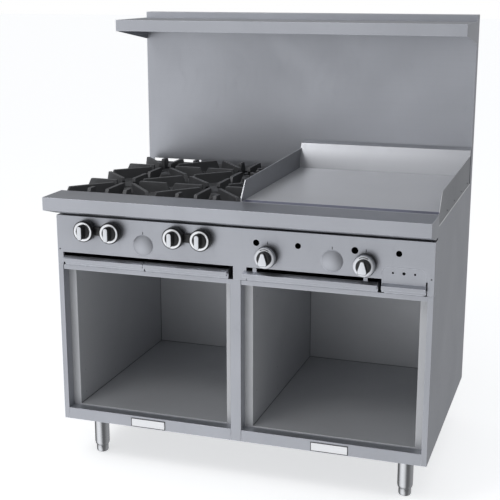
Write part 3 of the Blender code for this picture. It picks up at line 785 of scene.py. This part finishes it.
@dataclass
class SheetWork:
    """Sheet steel pieces: copies of the frame's sheets with rolled folds."""

    shop: Shop
    fold_radius: float = 0.0022
    edge_radius: float = 0.0003
    wide_face: float = 0.0045
    trough_front: float = 0.0438
    trough_back: float = 0.0800
    splash_back: float = 0.6890
    parts: dict[str, bpy.types.Object] = field(default_factory=dict)

    def is_fold(self, edge: bmesh.types.BMEdge) -> bool:
        """Say whether an edge is the outside of a fold between two wide faces."""
        if len(edge.link_faces) != 2 or not edge.is_convex:
            return False
        if edge.calc_face_angle() < math.radians(20.0) or edge.calc_length() < 0.008:
            return False
        length = edge.calc_length()
        return all(face.calc_area() / length > self.wide_face for face in edge.link_faces)

    def copy_of(self, node: str) -> bpy.types.Object:
        """Copy a frame sheet and clean its triangles into whole faces.

        Args:
            node: The frame node's name.

        Returns:
            The copy, with merged points and flat faces dissolved.
        """
        take(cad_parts[node])
        bpy.ops.object.duplicate(linked=False)
        copy = bpy.context.active_object
        copy.name = f"{node}_sheet"
        copy.data.name = copy.name
        bpy.ops.object.mode_set(mode="EDIT")
        bpy.ops.mesh.select_all(action="SELECT")
        bpy.ops.mesh.remove_doubles(threshold=MERGE)
        bpy.ops.mesh.dissolve_limited(angle_limit=math.radians(1.0))
        bpy.ops.object.mode_set(mode="OBJECT")
        return copy

    def make(
        self, node: str, body: str, finish: Finish, fold: float | None = None
    ) -> bpy.types.Object:
        """Work one sheet and put it in the frame sheet's place.

        Args:
            node: The frame node it stands for.
            body: The frame body it moves with.
            finish: Its finish.
            fold: Outer radius of its folds, or None for the usual one.

        Returns:
            The finished piece.
        """
        sheet = self.copy_of(node)
        radius = self.fold_radius if fold is None else fold
        if radius > 0.0:
            round_edges(sheet, radius, self.is_fold)
        dress_edges(sheet, self.edge_radius)
        smooth(sheet, 35.0)
        weigh_normals(sheet)
        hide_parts(node)
        mount(sheet, body, self.shop.get(finish))
        self.parts[node] = sheet
        return sheet

    def shade_splash_sides(self) -> None:
        """Give the splash's two side walls a darker copy of its steel: painted shade."""
        splash = self.parts["griddle_splash"]
        splash.data.materials.append(self.shop.get(SPLASH_SIDE_SHADE))
        rear = behind(self.splash_back)
        for face in splash.data.polygons:
            # Side walls take the darker copy: painted shade.
            face.material_index = int(abs(face.normal.x) > 0.9 and face.center.y < rear)

    def shade_trough(self) -> None:
        """Give the sunk trough in front of the griddle a darker, bluer steel: painted shade inside the
        trough.
        """
        plate = self.parts["griddle_plate"]
        plate.data.materials.append(self.shop.get(TROUGH_SHADE))
        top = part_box("griddle_plate")[1][2]
        back = behind(self.trough_back) + 0.0005
        for face in plate.data.polygons:
            sunk = face.center.z < top - 0.001 and face.center.y < back
            outside = face.center.y < behind(self.trough_front)
            # Sunk trough faces take the darker steel: painted shade.
            face.material_index = int(sunk and not outside)

    def build(self) -> None:
        """Work every sheet that keeps the frame's shape."""
        for node in ("left_bottom_rail", "right_bottom_rail", "front_top_rail"):
            self.make(node, ROOT, FRONT_STEEL)
        self.make("plate_rail", ROOT, FRONT_STEEL, 0.0032)
        self.make("centre_stile", ROOT, UPRIGHT_STEEL)
        self.make("griddle_splash", ROOT, SPLASH_STEEL, 0.0)
        self.shade_splash_sides()
        self.make("backguard", ROOT, FRONT_STEEL)
        self.make("high_shelf", "high_shelf_body", FRONT_STEEL)
        for side in ("left", "right"):
            self.make(f"{side}_side_panel", ROOT, SIDE_STEEL)
            self.make(f"{side}_cabinet_liner", ROOT, LINER_STEEL, 0.0008)
            self.make(f"griddle_burner_{side}", ROOT, BODY_STEEL, 0.0)
        self.make("rear_panel", ROOT, BODY_STEEL, 0.0)
        self.make("base_pan", ROOT, BODY_STEEL)
        self.make("top_frame", ROOT, BODY_STEEL, 0.001)
        self.make("griddle_plate", ROOT, GRIDDLE_STEEL, 0.0)
        self.shade_trough()
        for tray in ("left", "middle", "griddle"):
            name = f"{tray}_drip_tray"
            self.make(name, f"{name}_body", FRONT_STEEL, 0.0015)
        self.make("grease_drawer", "grease_drawer_body", FRONT_STEEL, 0.0015)


def screw(name: str, centre: Point, axis: Axis, radius: float = 0.0026) -> bpy.types.Object:
    """Turn a low pan-head screw with a cross recess.

    Args:
        name: Name of the screw.
        centre: Where its head meets the sheet.
        axis: Direction it faces.
        radius: Radius of the head.

    Returns:
        The screw.
    """
    rise = radius * 0.45
    profile = [
        (radius * 0.96, 0.0), (radius, rise * 0.25), (radius * 0.85, rise * 0.75), (radius * 0.5, rise),
    ]
    head = turn(name, profile, sides=SCREW_SIDES)
    half = radius * 0.14
    reach = radius * 0.62
    for size in ((reach, half), (half, reach)):
        slot = bar("slot", (-size[0], -size[1], rise * 0.45), (size[0], size[1], rise * 2.0))
        carve(head, slot)
    smooth(head, 30.0)
    return pointed(head, axis, centre)


@dataclass
class LinerTrim:
    """Dark strips of painted shade along the cabinets' corner joints, and wall screws inside the two
    cabinets.
    """

    shop: Shop
    outer_x: float = 0.557
    inner_x: float = 0.0435
    floor: float = 0.1935
    ceiling: float = 0.6565
    back: float = 0.720
    front: float = 0.0390
    bead: float = 0.0011
    screw_depths: tuple[float, ...] = (0.075, 0.300)
    screw_heights: tuple[float, ...] = (0.222, 0.300, 0.610)

    def shade_seams(self, name: str, x: Span) -> bpy.types.Object:
        """Lay the dark strips of painted shade along the floor and up the corners of one cabinet.

        Args:
            name: Name of the joined strips.
            x: The cabinet's left and right walls.

        Returns:
            The strips.
        """
        bead = self.bead
        floor = (self.floor, self.floor + bead)
        height = (self.floor, self.ceiling)
        depth = (self.front, self.back)
        rear = (self.back - bead, self.back)
        walls = ((x[0], x[0] + bead), (x[1] - bead, x[1]))
        beads = [slab("bead", x, rear, floor)]
        for wall in walls:
            beads.append(slab("bead", wall, depth, floor))
            beads.append(slab("bead", wall, rear, height))
        for strip in beads:
            dress_edges(strip, bead * 0.3, 2)
            smooth(strip)
        return joined(name, beads)

    def build(self) -> None:
        """Lay the painted-shade strips and fit the screws of both cabinets."""
        spans = {"left": (-self.outer_x, -self.inner_x), "right": (self.inner_x, self.outer_x)}
        for side, span in spans.items():
            beads = self.shade_seams(f"liner_corner_shade_{side}", span)
            # The dark corner strips are painted shade.
            mount(beads, ROOT, self.shop.get(SEAM_SHADE))
            first = screw("first", (0.0, 0.0, 0.0), Axis.TO_RIGHT, 0.0024)
            row = [
                copied(first, "liner_screw", (span[0], behind(depth), height))
                for depth in self.screw_depths
                for height in self.screw_heights
            ]
            cleared(first)
            whole = joined(f"liner_screws_{side}", row)
            mount(whole, ROOT, self.shop.get(SCREW_STEEL))


# -------------------------------------------------------------- control panel


@dataclass
class ControlPanel:
    """The folded panel behind the knobs, with its holes, ticks, plugs and knob strips; its screws are
    fitted with the other fasteners.
    """

    shop: Shop
    plug_radius: float = 0.0335
    plug_rise: float = 0.0064
    tick_rise: float = 0.0394
    tick: tuple[float, float] = (0.0022, 0.0085)

    def knob_axes(self) -> list[tuple[float, float]]:
        """Return the x and z of the six valve stems, burners first."""
        axes = []
        for name in STEMS:
            low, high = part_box(f"valve_stem_{name}")
            axes.append(((low[0] + high[0]) / 2, (low[2] + high[2]) / 2))
        return axes

    def build_panel(self, sheets: SheetWork) -> None:
        """Work the panel sheet."""
        sheets.make("control_panel", ROOT, FRONT_STEEL, 0.0018)

    def build_ticks(self) -> None:
        """Ink the off marks over the griddle knobs and the plugs."""
        marks = []
        places = [axis[0] for axis in self.knob_axes()[4:]]
        for side in ("left", "right"):
            low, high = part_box(f"panel_plug_{side}")
            places.append((low[0] + high[0]) / 2)
        centre = (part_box("panel_plug_left")[0][2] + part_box("panel_plug_left")[1][2]) / 2
        for x in places:
            span = (x - self.tick[0] / 2, x + self.tick[0] / 2)
            z = centre + self.tick_rise
            rise = (z - self.tick[1] / 2, z + self.tick[1] / 2)
            mark = slab("tick", span, (-0.00025, 0.0004), rise)
            round_edges(mark, self.tick[0] * 0.3, lambda edge: abs(
                (edge.verts[0].co - edge.verts[1].co).y) > 0.0003)
            marks.append(mark)
        whole = joined("panel_ticks", marks)
        smooth(whole)
        mount(whole, ROOT, self.shop.get(INK))

    def build_plugs(self) -> None:
        """Press the two domed blanking plugs."""
        steps = 14
        profile = [(self.plug_radius * 0.97, 0.0003), (self.plug_radius, 0.0006)]
        for step in range(1, steps):
            share = step / steps
            rise = self.plug_rise * (1.0 - (1.0 - share) ** 2)
            profile.append((self.plug_radius * (1.0 - share), 0.0009 + rise))
        for side in ("left", "right"):
            low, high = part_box(f"panel_plug_{side}")
            centre = ((low[0] + high[0]) / 2, PANEL_Y, (low[2] + high[2]) / 2)
            plug = turn(f"plug_{side}", profile, centre, Axis.TO_COOK)
            smooth(plug)
            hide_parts(f"panel_plug_{side}")
            mount(plug, ROOT, self.shop.get(FRONT_STEEL))

    def build_strips(self) -> None:
        """Fit the black strip behind each pair of burner knobs."""
        axes = self.knob_axes()
        for side, pair in (("left", axes[0:2]), ("right", axes[2:4])):
            strip = slab(
                f"knob_strip_{side}",
                (pair[0][0] + 0.012, pair[1][0] - 0.012),
                (-0.0120, -0.0004),
                (pair[0][1] - 0.0135, pair[0][1] + 0.0135),
            )
            dress_edges(strip, 0.0012, 3)
            smooth(strip)
            mount(strip, ROOT, self.shop.get(BLACK))


@dataclass
class Fasteners:
    """Small screws that hold the sheets, and the painted highlight strips on the side panels."""

    shop: Shop
    panel_screw_x: float = 0.5915
    panel_screw_z: float = 0.730
    splash_screw_depths: tuple[float, ...] = (0.199, 0.352, 0.508, 0.662)
    splash_screw_z: float = 0.894
    strip: float = 0.0020

    def fit(
        self, name: str, places: Sequence[Point], axis: Axis, finish: Finish, radius: float = 0.0026
    ) -> None:
        """Fit a row of the same screw.

        Args:
            name: Name of the joined row.
            places: Where each head sits.
            axis: Direction they face.
            finish: Their finish.
            radius: Radius of each head.
        """
        first = screw(name, (0.0, 0.0, 0.0), axis, radius)
        row = [copied(first, f"{name}_{number}", place) for number, place in enumerate(places)]
        cleared(first)
        whole = joined(name, row)
        mount(whole, ROOT, self.shop.get(finish))

    def highlight_strips(self) -> None:
        """Lay a bright strip along the top of each side panel: a painted highlight on its top edge."""
        half = self.strip / 2
        for side in ("left", "right"):
            low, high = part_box(f"{side}_side_panel")
            outer = low[0] if side == "left" else high[0]
            strip = slab(
                f"side_highlight_{side}",
                (outer - half, outer + half),
                (0.0430, 0.7340),
                (high[2] - half, high[2] + half),
            )
            dress_edges(strip, half * 0.6, 3)
            smooth(strip)
            # The near-white strip is a painted highlight along the panel's top edge.
            mount(strip, ROOT, self.shop.get(EDGE_HIGHLIGHT))

    def build(self) -> None:
        """Fit every row of screws."""
        self.highlight_strips()
        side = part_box("right_side_panel")[1][0]
        ends = (-self.panel_screw_x, self.panel_screw_x)
        front = [(x, PANEL_Y, self.panel_screw_z) for x in ends]
        row = [(side, behind(depth), self.splash_screw_z) for depth in self.splash_screw_depths]
        self.fit("panel_screws", front, Axis.TO_COOK, DARK_SCREW, 0.0024)
        self.fit("splash_screws", row, Axis.TO_RIGHT, DARK_SCREW)


# ---------------------------------------------------------------------- knobs


@dataclass
class Knobs:
    """Four open-burner knobs and two griddle knobs, modelled facing up at the origin."""

    shop: Shop
    radius: float = 0.0335
    face_radius: float = 0.0328
    ring_outer: float = 0.0307
    ring_inner: float = 0.0224
    face: float = 0.0300
    grip_front: float = 0.0560
    grip_half: tuple[float, float] = (0.0080, 0.0220)
    skirt_face: float = 0.0330
    cap_radius: float = 0.0226
    pointer_front: float = 0.0560
    arc: tuple[float, float] = (0.0258, 0.0280)
    arc_half_angle: float = math.radians(30.0)
    flute_count: int = 16

    @staticmethod
    def is_upright(edge: bmesh.types.BMEdge) -> bool:
        """Say whether an edge runs along the knob's axis."""
        along = edge.verts[0].co - edge.verts[1].co
        return abs(along.z) > 0.8 * along.length

    def finished(self, piece: bpy.types.Object, finish: Finish, edge: float = 0.0) -> bpy.types.Object:
        """Break a part's edges, shade it and give it its finish."""
        if edge > 0.0:
            dress_edges(piece, edge, 2, 40.0)
        smooth(piece, 32.0)
        piece.data.materials.append(self.shop.get(finish))
        return piece

    def tube(self, name: str, outer: float, inner: float, low: float, high: float) -> bpy.types.Object:
        """Turn a flat ring.

        Args:
            name: Name of the ring.
            outer: Outer radius.
            inner: Inner radius.
            low: Height of its back.
            high: Height of its face.

        Returns:
            The ring.
        """
        ring = turn(name, [(outer, low), (outer, high)])
        carve(ring, turn("bore", [(inner, low - 0.01), (inner, high + 0.01)]))
        return ring

    def burner_knob(self) -> bpy.types.Object:
        """Put a burner knob together: skirt, bright ring, grip and pale insert."""
        body = turn("body", [
            (0.0290, 0.0040),
            (0.0322, 0.0055),
            (self.radius, 0.0080),
            (self.radius, self.face - 0.0040),
            (self.radius - 0.0002, self.face - 0.0018),
            (self.face_radius, self.face - 0.0005),
            (self.face_radius - 0.0006, self.face),
            (self.ring_outer, self.face),
            (self.ring_outer, self.face - 0.0020),
            (self.ring_inner, self.face - 0.0020),
            (self.ring_inner, self.face - 0.0004),
            (self.ring_inner - 0.0010, self.face + 0.0002),
        ])
        half_x, half_z = self.grip_half
        top = self.grip_front - 0.0022
        grip = bar("grip", (-half_x, -half_z, self.face - 0.004), (half_x, half_z, top))
        round_edges(grip, half_x * 0.93, self.is_upright, 6)
        carve(body, grip, "UNION")
        self.finished(body, BLACK, 0.0005)
        ring = self.tube("ring", self.ring_outer - 0.0003, self.ring_inner + 0.0003,
                         self.face - 0.0018, self.face + 0.0006)
        self.finished(ring, BRIGHT_RING, 0.0009)
        strip = bar(
            "insert",
            (-half_x + 0.0013, -half_z + 0.0008, self.grip_front - 0.0040),
            (half_x - 0.0013, half_z - 0.0008, self.grip_front),
        )
        round_edges(strip, (half_x - 0.0013) * 0.95, self.is_upright, 8)
        self.finished(strip, INSERT, 0.0008)
        return joined("burner_knob", [body, ring, strip])

    def wedge(self, grow: float, base: float, front: float) -> bpy.types.Object:
        """Model a pointer: narrow at the top, wide and rounded below.

        Args:
            grow: How much larger than the pale pointer it is all round.
            base: Height of its back.
            front: Height of its face.

        Returns:
            The pointer.
        """
        wide = 0.0127 + grow
        low = -0.0178 - grow
        high = 0.0186 + grow
        wedge = bar("wedge", (-wide, low, base), (wide, high, front))
        for side in (-1.0, 1.0):
            bisect(wedge, (side * wide, low + 0.009, base), (side * 0.954, 0.299, 0.0))
        round_edges(wedge, 0.0065, lambda edge: self.is_upright(edge) and edge.verts[0].co.y < 0.0, 7)
        round_edges(wedge, 0.0022, lambda edge: self.is_upright(edge) and edge.verts[0].co.y > 0.012, 5)
        return wedge

    def griddle_knob(self) -> bpy.types.Object:
        """Put a griddle knob together: collar, wide bright skirt, ribbed cap and pointer."""
        collar = turn("collar", [
            (0.0305, 0.0036), (0.0328, 0.0050), (0.0330, 0.0215), (0.0315, 0.0234), (0.0260, 0.0250),
        ])
        self.finished(collar, BLACK)
        skirt = turn("skirt", [
            (0.0290, 0.0238), (0.0328, 0.0240), (self.radius, 0.0252),
            (self.radius - 0.0004, 0.0285), (self.radius - 0.0020, 0.0312), (0.0285, 0.0325),
            (0.0240, self.skirt_face), (0.0225, self.skirt_face),
        ])
        self.finished(skirt, SKIRT_METAL)
        cap = turn("cap", [
            (self.cap_radius - 0.0002, self.skirt_face - 0.001), (self.cap_radius, 0.0360),
            (self.cap_radius - 0.0016, 0.0440), (self.cap_radius - 0.0034, 0.0455), (0.0160, 0.0460),
        ])
        flutes = []
        for number in range(self.flute_count):
            angle = number / self.flute_count * math.tau
            reach = self.cap_radius + 0.0008
            place = (reach * math.cos(angle), reach * math.sin(angle), 0.0)
            flutes.append(turn("flute", [(0.0020, 0.0345), (0.0026, 0.0600)], place, sides=FLUTE_SIDES))
        carve(cap, joined("flutes", flutes))
        carve(cap, self.wedge(0.0011, 0.0440, self.pointer_front - 0.0016), "UNION")
        self.finished(cap, BLACK, 0.0004)
        pointer = self.wedge(0.0, self.pointer_front - 0.0030, self.pointer_front)
        self.finished(pointer, INSERT, 0.0008)
        low, high = self.skirt_face - 0.0006, self.skirt_face + 0.0001
        mark = self.tube("mark", self.arc[1], self.arc[0], low, high)
        slope = self.arc_half_angle
        for side in (-1.0, 1.0):
            bisect(mark, (0.0, 0.0, 0.0), (side * math.cos(slope), -math.sin(slope), 0.0))
        bisect(mark, (0.0, 0.0, 0.0), (0.0, -1.0, 0.0))
        self.finished(mark, INK)
        return joined("griddle_knob", [collar, skirt, cap, pointer, mark])

    def build(self, axes: Sequence[tuple[float, float]]) -> None:
        """Copy the two patterns to every stem.

        Args:
            axes: The x and z of each stem, burners first.
        """
        patterns = {"burner": self.burner_knob(), "griddle": self.griddle_knob()}
        for pattern in patterns.values():
            pointed(pattern, Axis.TO_COOK, (0.0, 0.0, 0.0))
        for name, (x, z) in zip(STEMS, axes):
            kind = "burner" if "_" in name else "griddle"
            knob = copied(patterns[kind], f"{kind}_knob_{name}_body", (x, PANEL_Y, z))
            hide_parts(f"{kind}_knob_{name}")
            mount(knob, f"{kind}_control_{name}")
        cleared(*patterns.values())


# --------------------------------------------------------------- grates, burners


@dataclass
class Grates:
    """Cast grates: a shallow dish with eight fingers and two short ones on the outer edge."""

    shop: Shop
    top: float = 0.920
    thickness: float = 0.0115
    eye: float = 0.078
    tip: float = 0.013
    straight_start: float = 0.040
    slanted_start: float = 0.052
    corner_inset: float = 0.008
    short_x: float = 0.062
    short_start: float = 0.128

    def finger(self, inner: float, outer: float, base: float) -> bpy.types.Object:
        """Model one finger along +X, sawn to its slanted ends."""
        half = self.thickness / 2
        finger = bar("finger", (inner, -half, base), (outer, half, self.top))
        bisect(finger, (inner, 0.0, self.top - self.tip), (-0.57, 0.0, -0.82))
        bisect(finger, (inner + 0.002, 0.0, self.top), (-0.97, 0.0, 0.24))
        bisect(finger, (outer - 0.012, 0.0, self.top), (0.90, 0.0, 0.44))
        return finger

    def short_finger(self, outer: float, base: float, angle: float, aside: float) -> bpy.types.Object:
        """Model a short finger on the rim.

        Args:
            outer: How far out it ends.
            base: Height it stands on.
            angle: Direction it points.
            aside: How far it lies beside the grate's middle.

        Returns:
            The finger.
        """
        half = self.thickness / 2
        start = self.short_start
        finger = bar("short_finger", (start, aside - half, base), (outer, aside + half, self.top))
        bisect(finger, (start + 0.002, 0.0, self.top), (-0.98, 0.0, 0.20))
        bisect(finger, (outer - 0.012, 0.0, self.top), (0.90, 0.0, 0.44))
        return spun(finger, angle)

    def pattern(self, half_x: float, outer_y: float, inner_y: float, base: float) -> bpy.types.Object:
        """Model a front grate with its burner's centre at the origin.

        Args:
            half_x: Half its width.
            outer_y: How far it reaches towards the cook.
            inner_y: How far it reaches towards the middle.
            base: Height of its underside.

        Returns:
            The grate.
        """
        dish = bar("dish", (-half_x, -outer_y, base), (half_x, inner_y, base + 0.0055))
        round_edges(dish, 0.006, lambda edge: abs(edge.verts[0].co.z - edge.verts[1].co.z) > 0.003, 5)
        carve(dish, turn("eye", [(self.eye, base - 0.01), (self.eye, base + 0.02)]))
        plan = [(angle, self.straight_start, half_x - 0.0005) for angle in (0.0, math.pi)]
        for way, reach_y in ((-1, outer_y), (1, inner_y)):
            plan.append((way * math.pi / 2, self.straight_start, reach_y - 0.0005))
            for side in (-1, 1):
                reach = math.hypot(half_x, reach_y) - self.corner_inset
                plan.append((math.atan2(way * reach_y, side * half_x), self.slanted_start, reach))
        foot = base + 0.002
        for angle, inner, outer in plan:
            carve(dish, spun(self.finger(inner, outer, foot), angle), "UNION")
        for aside in (-self.short_x, self.short_x):
            finger = self.short_finger(outer_y - 0.0005, foot, -math.pi / 2, aside)
            carve(dish, finger, "UNION")
        dress_edges(dish, 0.0013, 3, 30.0)
        smooth(dish, 40.0)
        weigh_normals(dish)
        return dish

    def build(self) -> None:
        """Copy the pattern onto each burner; the rear ones are turned about."""
        low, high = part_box("grate_front_left")
        head_low, head_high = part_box("burner_head_front_left")
        middle = (head_low[1] + head_high[1]) / 2
        pattern = self.pattern((high[0] - low[0]) / 2, middle - low[1], high[1] - middle, low[2])
        for row in ("front", "rear"):
            for column in ("left", "right"):
                node = f"grate_{row}_{column}"
                grate = copied(pattern, f"{node}_casting", (0.0, 0.0, 0.0))
                if row == "rear":
                    spun(grate, math.pi)
                grate.location = middle_of(f"burner_head_{row}_{column}")
                settle(grate)
                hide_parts(node)
                mount(grate, f"grate_body_{row}_{column}", self.shop.get(IRON))
        cleared(pattern)


@dataclass
class Burners:
    """Burner heads with their ring of ports, on the venturi castings."""

    shop: Shop
    port_count: int = 30

    def head(self, base: float) -> bpy.types.Object:
        """Model one burner head at the origin, standing on base."""
        head = turn("head", [
            (0.0125, base - 0.0115),
            (0.0125, base),
            (0.0340, base),
            (0.0368, base + 0.0040),
            (0.0368, base + 0.0200),
            (0.0345, base + 0.0245),
            (0.0290, base + 0.0290),
            (0.0180, base + 0.0318),
            (0.0060, base + 0.0328),
        ])
        ports = []
        for number in range(self.port_count):
            angle = number / self.port_count * math.tau
            port = bar("port", (0.0330, -0.0012, base + 0.0080), (0.0400, 0.0012, base + 0.0160))
            ports.append(spun(port, angle))
        carve(head, joined("ports", ports))
        dress_edges(head, 0.0005, 2, 35.0)
        smooth(head, 35.0)
        return head

    def build(self, sheets: SheetWork) -> None:
        """Copy the head to each venturi casting and dress the castings."""
        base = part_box("burner_base_front_left")[1][2]
        pattern = self.head(base + 0.0003)
        for row in ("front", "rear"):
            for column in ("left", "right"):
                node = f"burner_head_{row}_{column}"
                head = copied(pattern, f"{node}_casting", middle_of(node))
                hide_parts(node)
                mount(head, ROOT, self.shop.get(BURNER_IRON))
                sheets.make(f"burner_base_{row}_{column}", ROOT, BURNER_IRON, 0.0)
        cleared(pattern)


# ----------------------------------------------------------------- legs, trim


@dataclass
class Legs:
    """Plated round legs and their levelling feet."""

    shop: Shop
    radius: float = 0.0245
    foot_radius: float = 0.0200

    def leg(self, low: float, top: float) -> bpy.types.Object:
        """Turn one leg at the origin."""
        return turn("leg", [
            (0.0180, low),
            (0.0222, low + 0.0004),
            (0.0232, low + 0.0020),
            (self.radius, low + 0.0100),
            (self.radius, top - 0.0060),
            (self.radius, top),
        ])

    def foot(self, top: float) -> bpy.types.Object:
        """Turn one foot at the origin."""
        foot = turn("foot", [
            (0.0120, 0.0),
            (0.0160, 0.0006),
            (0.0186, 0.0026),
            (self.foot_radius, 0.0070),
            (self.foot_radius, top - 0.0030),
            (self.foot_radius - 0.0010, top - 0.0012),
            (self.foot_radius - 0.0022, top),
            (0.0080, top),
            (0.0080, top + 0.0270),
        ])
        smooth(foot, 30.0)
        return foot

    def build(self) -> None:
        """Copy a leg and a foot to each corner."""
        leg_low, leg_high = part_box("leg_front_left")
        foot_top = leg_low[2] - 0.0003
        patterns = (self.leg(leg_low[2], leg_high[2]), self.foot(foot_top))
        smooth(patterns[0], 30.0)
        for row in ("front", "rear"):
            for side in ("left", "right"):
                for kind, pattern in zip(("leg", "foot"), patterns):
                    node = f"{kind}_{row}_{side}"
                    piece = copied(pattern, f"{node}_turned", middle_of(node))
                    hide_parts(node)
                    body = ROOT if kind == "leg" else f"foot_body_{row}_{side}"
                    mount(piece, body, self.shop.get(CHROME))
        cleared(*patterns)


@dataclass
class Nameplates:
    """Two blank plates with a raised rim."""

    shop: Shop
    rim: float = 0.0014
    groove: float = 0.0007

    def build(self) -> None:
        """Press each plate from a bar, with a sunk face."""
        for side in ("left", "right"):
            node = f"nameplate_{side}"
            low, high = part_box(node)
            plate = bar(f"{node}_blank", low, high)
            take(plate)
            bpy.ops.object.mode_set(mode="EDIT")
            bpy.ops.mesh.select_mode(type="FACE")
            bpy.ops.mesh.select_all(action="DESELECT")
            work = bmesh.from_edit_mesh(plate.data)
            for face in work.faces:
                face.select_set(face.normal.y < -0.9)
            bmesh.update_edit_mesh(plate.data)
            bpy.ops.mesh.inset(thickness=self.rim, depth=0.0)
            bpy.ops.mesh.inset(thickness=self.groove, depth=-0.0006)
            bpy.ops.object.mode_set(mode="OBJECT")
            plate.data.materials.append(self.shop.get(DARK_SCREW))
            plate.data.materials.append(self.shop.get(PLATE))
            for face in plate.data.polygons:
                inside = abs(face.center.x - (low[0] + high[0]) / 2) < (high[0] - low[0]) / 2 - self.rim
                face.material_index = int(face.normal.y < -0.9 and inside and face.area > 0.001)
            dress_edges(plate, 0.0003, 2, 50.0)
            smooth(plate, 30.0)
            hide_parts(node)
            mount(plate, ROOT)


# --------------------------------------------------------------------- studio


@dataclass(frozen=True)
class Softbox:
    """A rectangular softbox: its size in metres, power in watts and beam in degrees."""

    name: str
    place: Point
    aim: Point
    size: Span
    power: float
    spread: float = 180.0

    def hang(self) -> None:
        """Hang the light and point it."""
        data = bpy.data.lights.new(self.name, "AREA")
        data.shape = "RECTANGLE"
        data.size, data.size_y = self.size
        data.energy = self.power
        data.spread = math.radians(self.spread)
        light = bpy.data.objects.new(self.name, data)
        bpy.context.scene.collection.objects.link(light)
        light.location = self.place
        aim = Vector(self.aim) - Vector(self.place)
        light.rotation_euler = aim.to_track_quat("-Z", "Y").to_euler()


@dataclass
class Studio:
    """Camera, floor and soft lights."""

    camera_at: Point = (1.0301, -3.3238, 1.5578)
    camera_aim: Point = (-0.0709, 0.0, 0.6823)
    lens: float = 77.5
    floor_half: float = 40.0
    floor_glow: float = 0.60
    dim: float = 0.17
    glows: tuple[tuple[Point, float, float, float], ...] = (
        ((-0.50, -0.72, -0.50), 0.52, 1.08, 1.12),
        ((0.60, 0.70, -0.25), 0.20, 1.00, 0.22),
        ((-0.50, 0.80, 0.30), 0.60, 1.00, 0.18),
        ((0.00, -0.30, 1.00), 0.55, 1.00, 0.62),
        ((-0.30, -0.95, 0.20), 0.90, 1.00, 0.30),
    )
    softboxes: tuple[Softbox, ...] = (
        Softbox("key", (-1.4, -2.2, 3.3), (0.0, 0.0, 0.8), (1.6, 1.0), 28.0),
        Softbox("splash_fill", (0.30, -1.10, 1.42), (0.34, 0.38, 0.97), (0.50, 0.16), 0.006, 24.0),
        Softbox("rim", (2.6, 0.6, 3.0), (0.3, 0.0, 0.8), (1.0, 1.0), 6.0),
    )

    def build_camera(self) -> None:
        """Set up the camera."""
        data = bpy.data.cameras.new("camera")
        data.lens = self.lens
        data.clip_end = 100.0
        camera = bpy.data.objects.new("camera", data)
        bpy.context.scene.collection.objects.link(camera)
        camera.location = self.camera_at
        aim = Vector(self.camera_aim) - Vector(self.camera_at)
        camera.rotation_euler = aim.to_track_quat("-Z", "Y").to_euler()
        bpy.context.scene.camera = camera

    def build_floor(self) -> None:
        """Lay the pale floor."""
        deselect()
        bpy.ops.mesh.primitive_plane_add(size=2 * self.floor_half, location=(0.0, 4.0, 0.0))
        floor = named("floor")
        material = bpy.data.materials.new("floor_paper")
        material.use_nodes = True
        shader = material.node_tree.nodes["Principled BSDF"]
        shader.inputs["Base Color"].default_value = (0.88, 0.88, 0.88, 1.0)
        shader.inputs["Roughness"].default_value = 0.9
        shader.inputs["Emission Color"].default_value = (0.98, 0.99, 1.0, 1.0)
        shader.inputs["Emission Strength"].default_value = self.floor_glow
        floor.data.materials.append(material)
        floor.visible_glossy = False

    def build_world(self) -> None:
        """Light the room softly: brightest low in front, dim above, white to the eye."""
        world = bpy.data.worlds.new("room")
        bpy.context.scene.world = world
        world.use_nodes = True
        graph = Graph(world.node_tree)
        ambient = world.node_tree.nodes["Background"]
        place = graph.add("ShaderNodeTexCoord")
        total: object = self.dim
        for direction, start, stop, strength in self.glows:
            facing = graph.add("ShaderNodeVectorMath", operation="DOT_PRODUCT")
            facing.inputs[1].default_value = Vector(direction).normalized()
            graph.wire(place.outputs["Generated"], facing.inputs[0])
            spread = graph.add("ShaderNodeMapRange", interpolation_type="SMOOTHSTEP")
            graph.wire(facing.outputs["Value"], spread.inputs["Value"])
            spread.inputs["From Min"].default_value = start
            spread.inputs["From Max"].default_value = stop
            spread.inputs["To Max"].default_value = strength
            total = graph.maths("ADD", spread.outputs["Result"], total)
        graph.wire(total, ambient.inputs["Strength"])
        ambient.inputs["Color"].default_value = (0.97, 0.98, 1.0, 1.0)
        backdrop = graph.add("ShaderNodeBackground")
        backdrop.inputs["Color"].default_value = (1.0, 1.0, 1.0, 1.0)
        path = graph.add("ShaderNodeLightPath")
        choice = graph.add("ShaderNodeMixShader")
        graph.wire(path.outputs["Is Camera Ray"], choice.inputs[0])
        graph.wire(ambient.outputs[0], choice.inputs[1])
        graph.wire(backdrop.outputs[0], choice.inputs[2])
        graph.wire(choice.outputs[0], world.node_tree.nodes["World Output"].inputs[0])

    def build(self) -> None:
        """Set up the whole studio."""
        bpy.context.scene.view_settings.view_transform = "Standard"
        self.build_camera()
        self.build_floor()
        self.build_world()
        for softbox in self.softboxes:
            softbox.hang()


def dress_frame(shop: Shop) -> None:
    """Give the frame nodes that still show a finish of their own."""
    finishes = {"valve_stem": SCREW_STEEL, "gas_manifold": PIPE}
    for name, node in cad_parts.items():
        for start, finish in finishes.items():
            if name.startswith(start):
                for slot in node.material_slots:
                    slot.material = shop.get(finish)


def main() -> None:
    """Build the range, piece by piece, and its studio."""
    logging.basicConfig(level=logging.INFO, format="%(name)s: %(message)s")
    shop = Shop()
    sheets = SheetWork(shop)
    sheets.build()
    panel = ControlPanel(shop)
    panel.build_panel(sheets)
    panel.build_ticks()
    panel.build_plugs()
    panel.build_strips()
    Knobs(shop).build(panel.knob_axes())
    Grates(shop).build()
    Burners(shop).build(sheets)
    Legs(shop).build()
    Nameplates(shop).build()
    LinerTrim(shop).build()
    Fasteners(shop).build()
    dress_frame(shop)
    Studio().build()


if __name__ == "__main__":
    main()
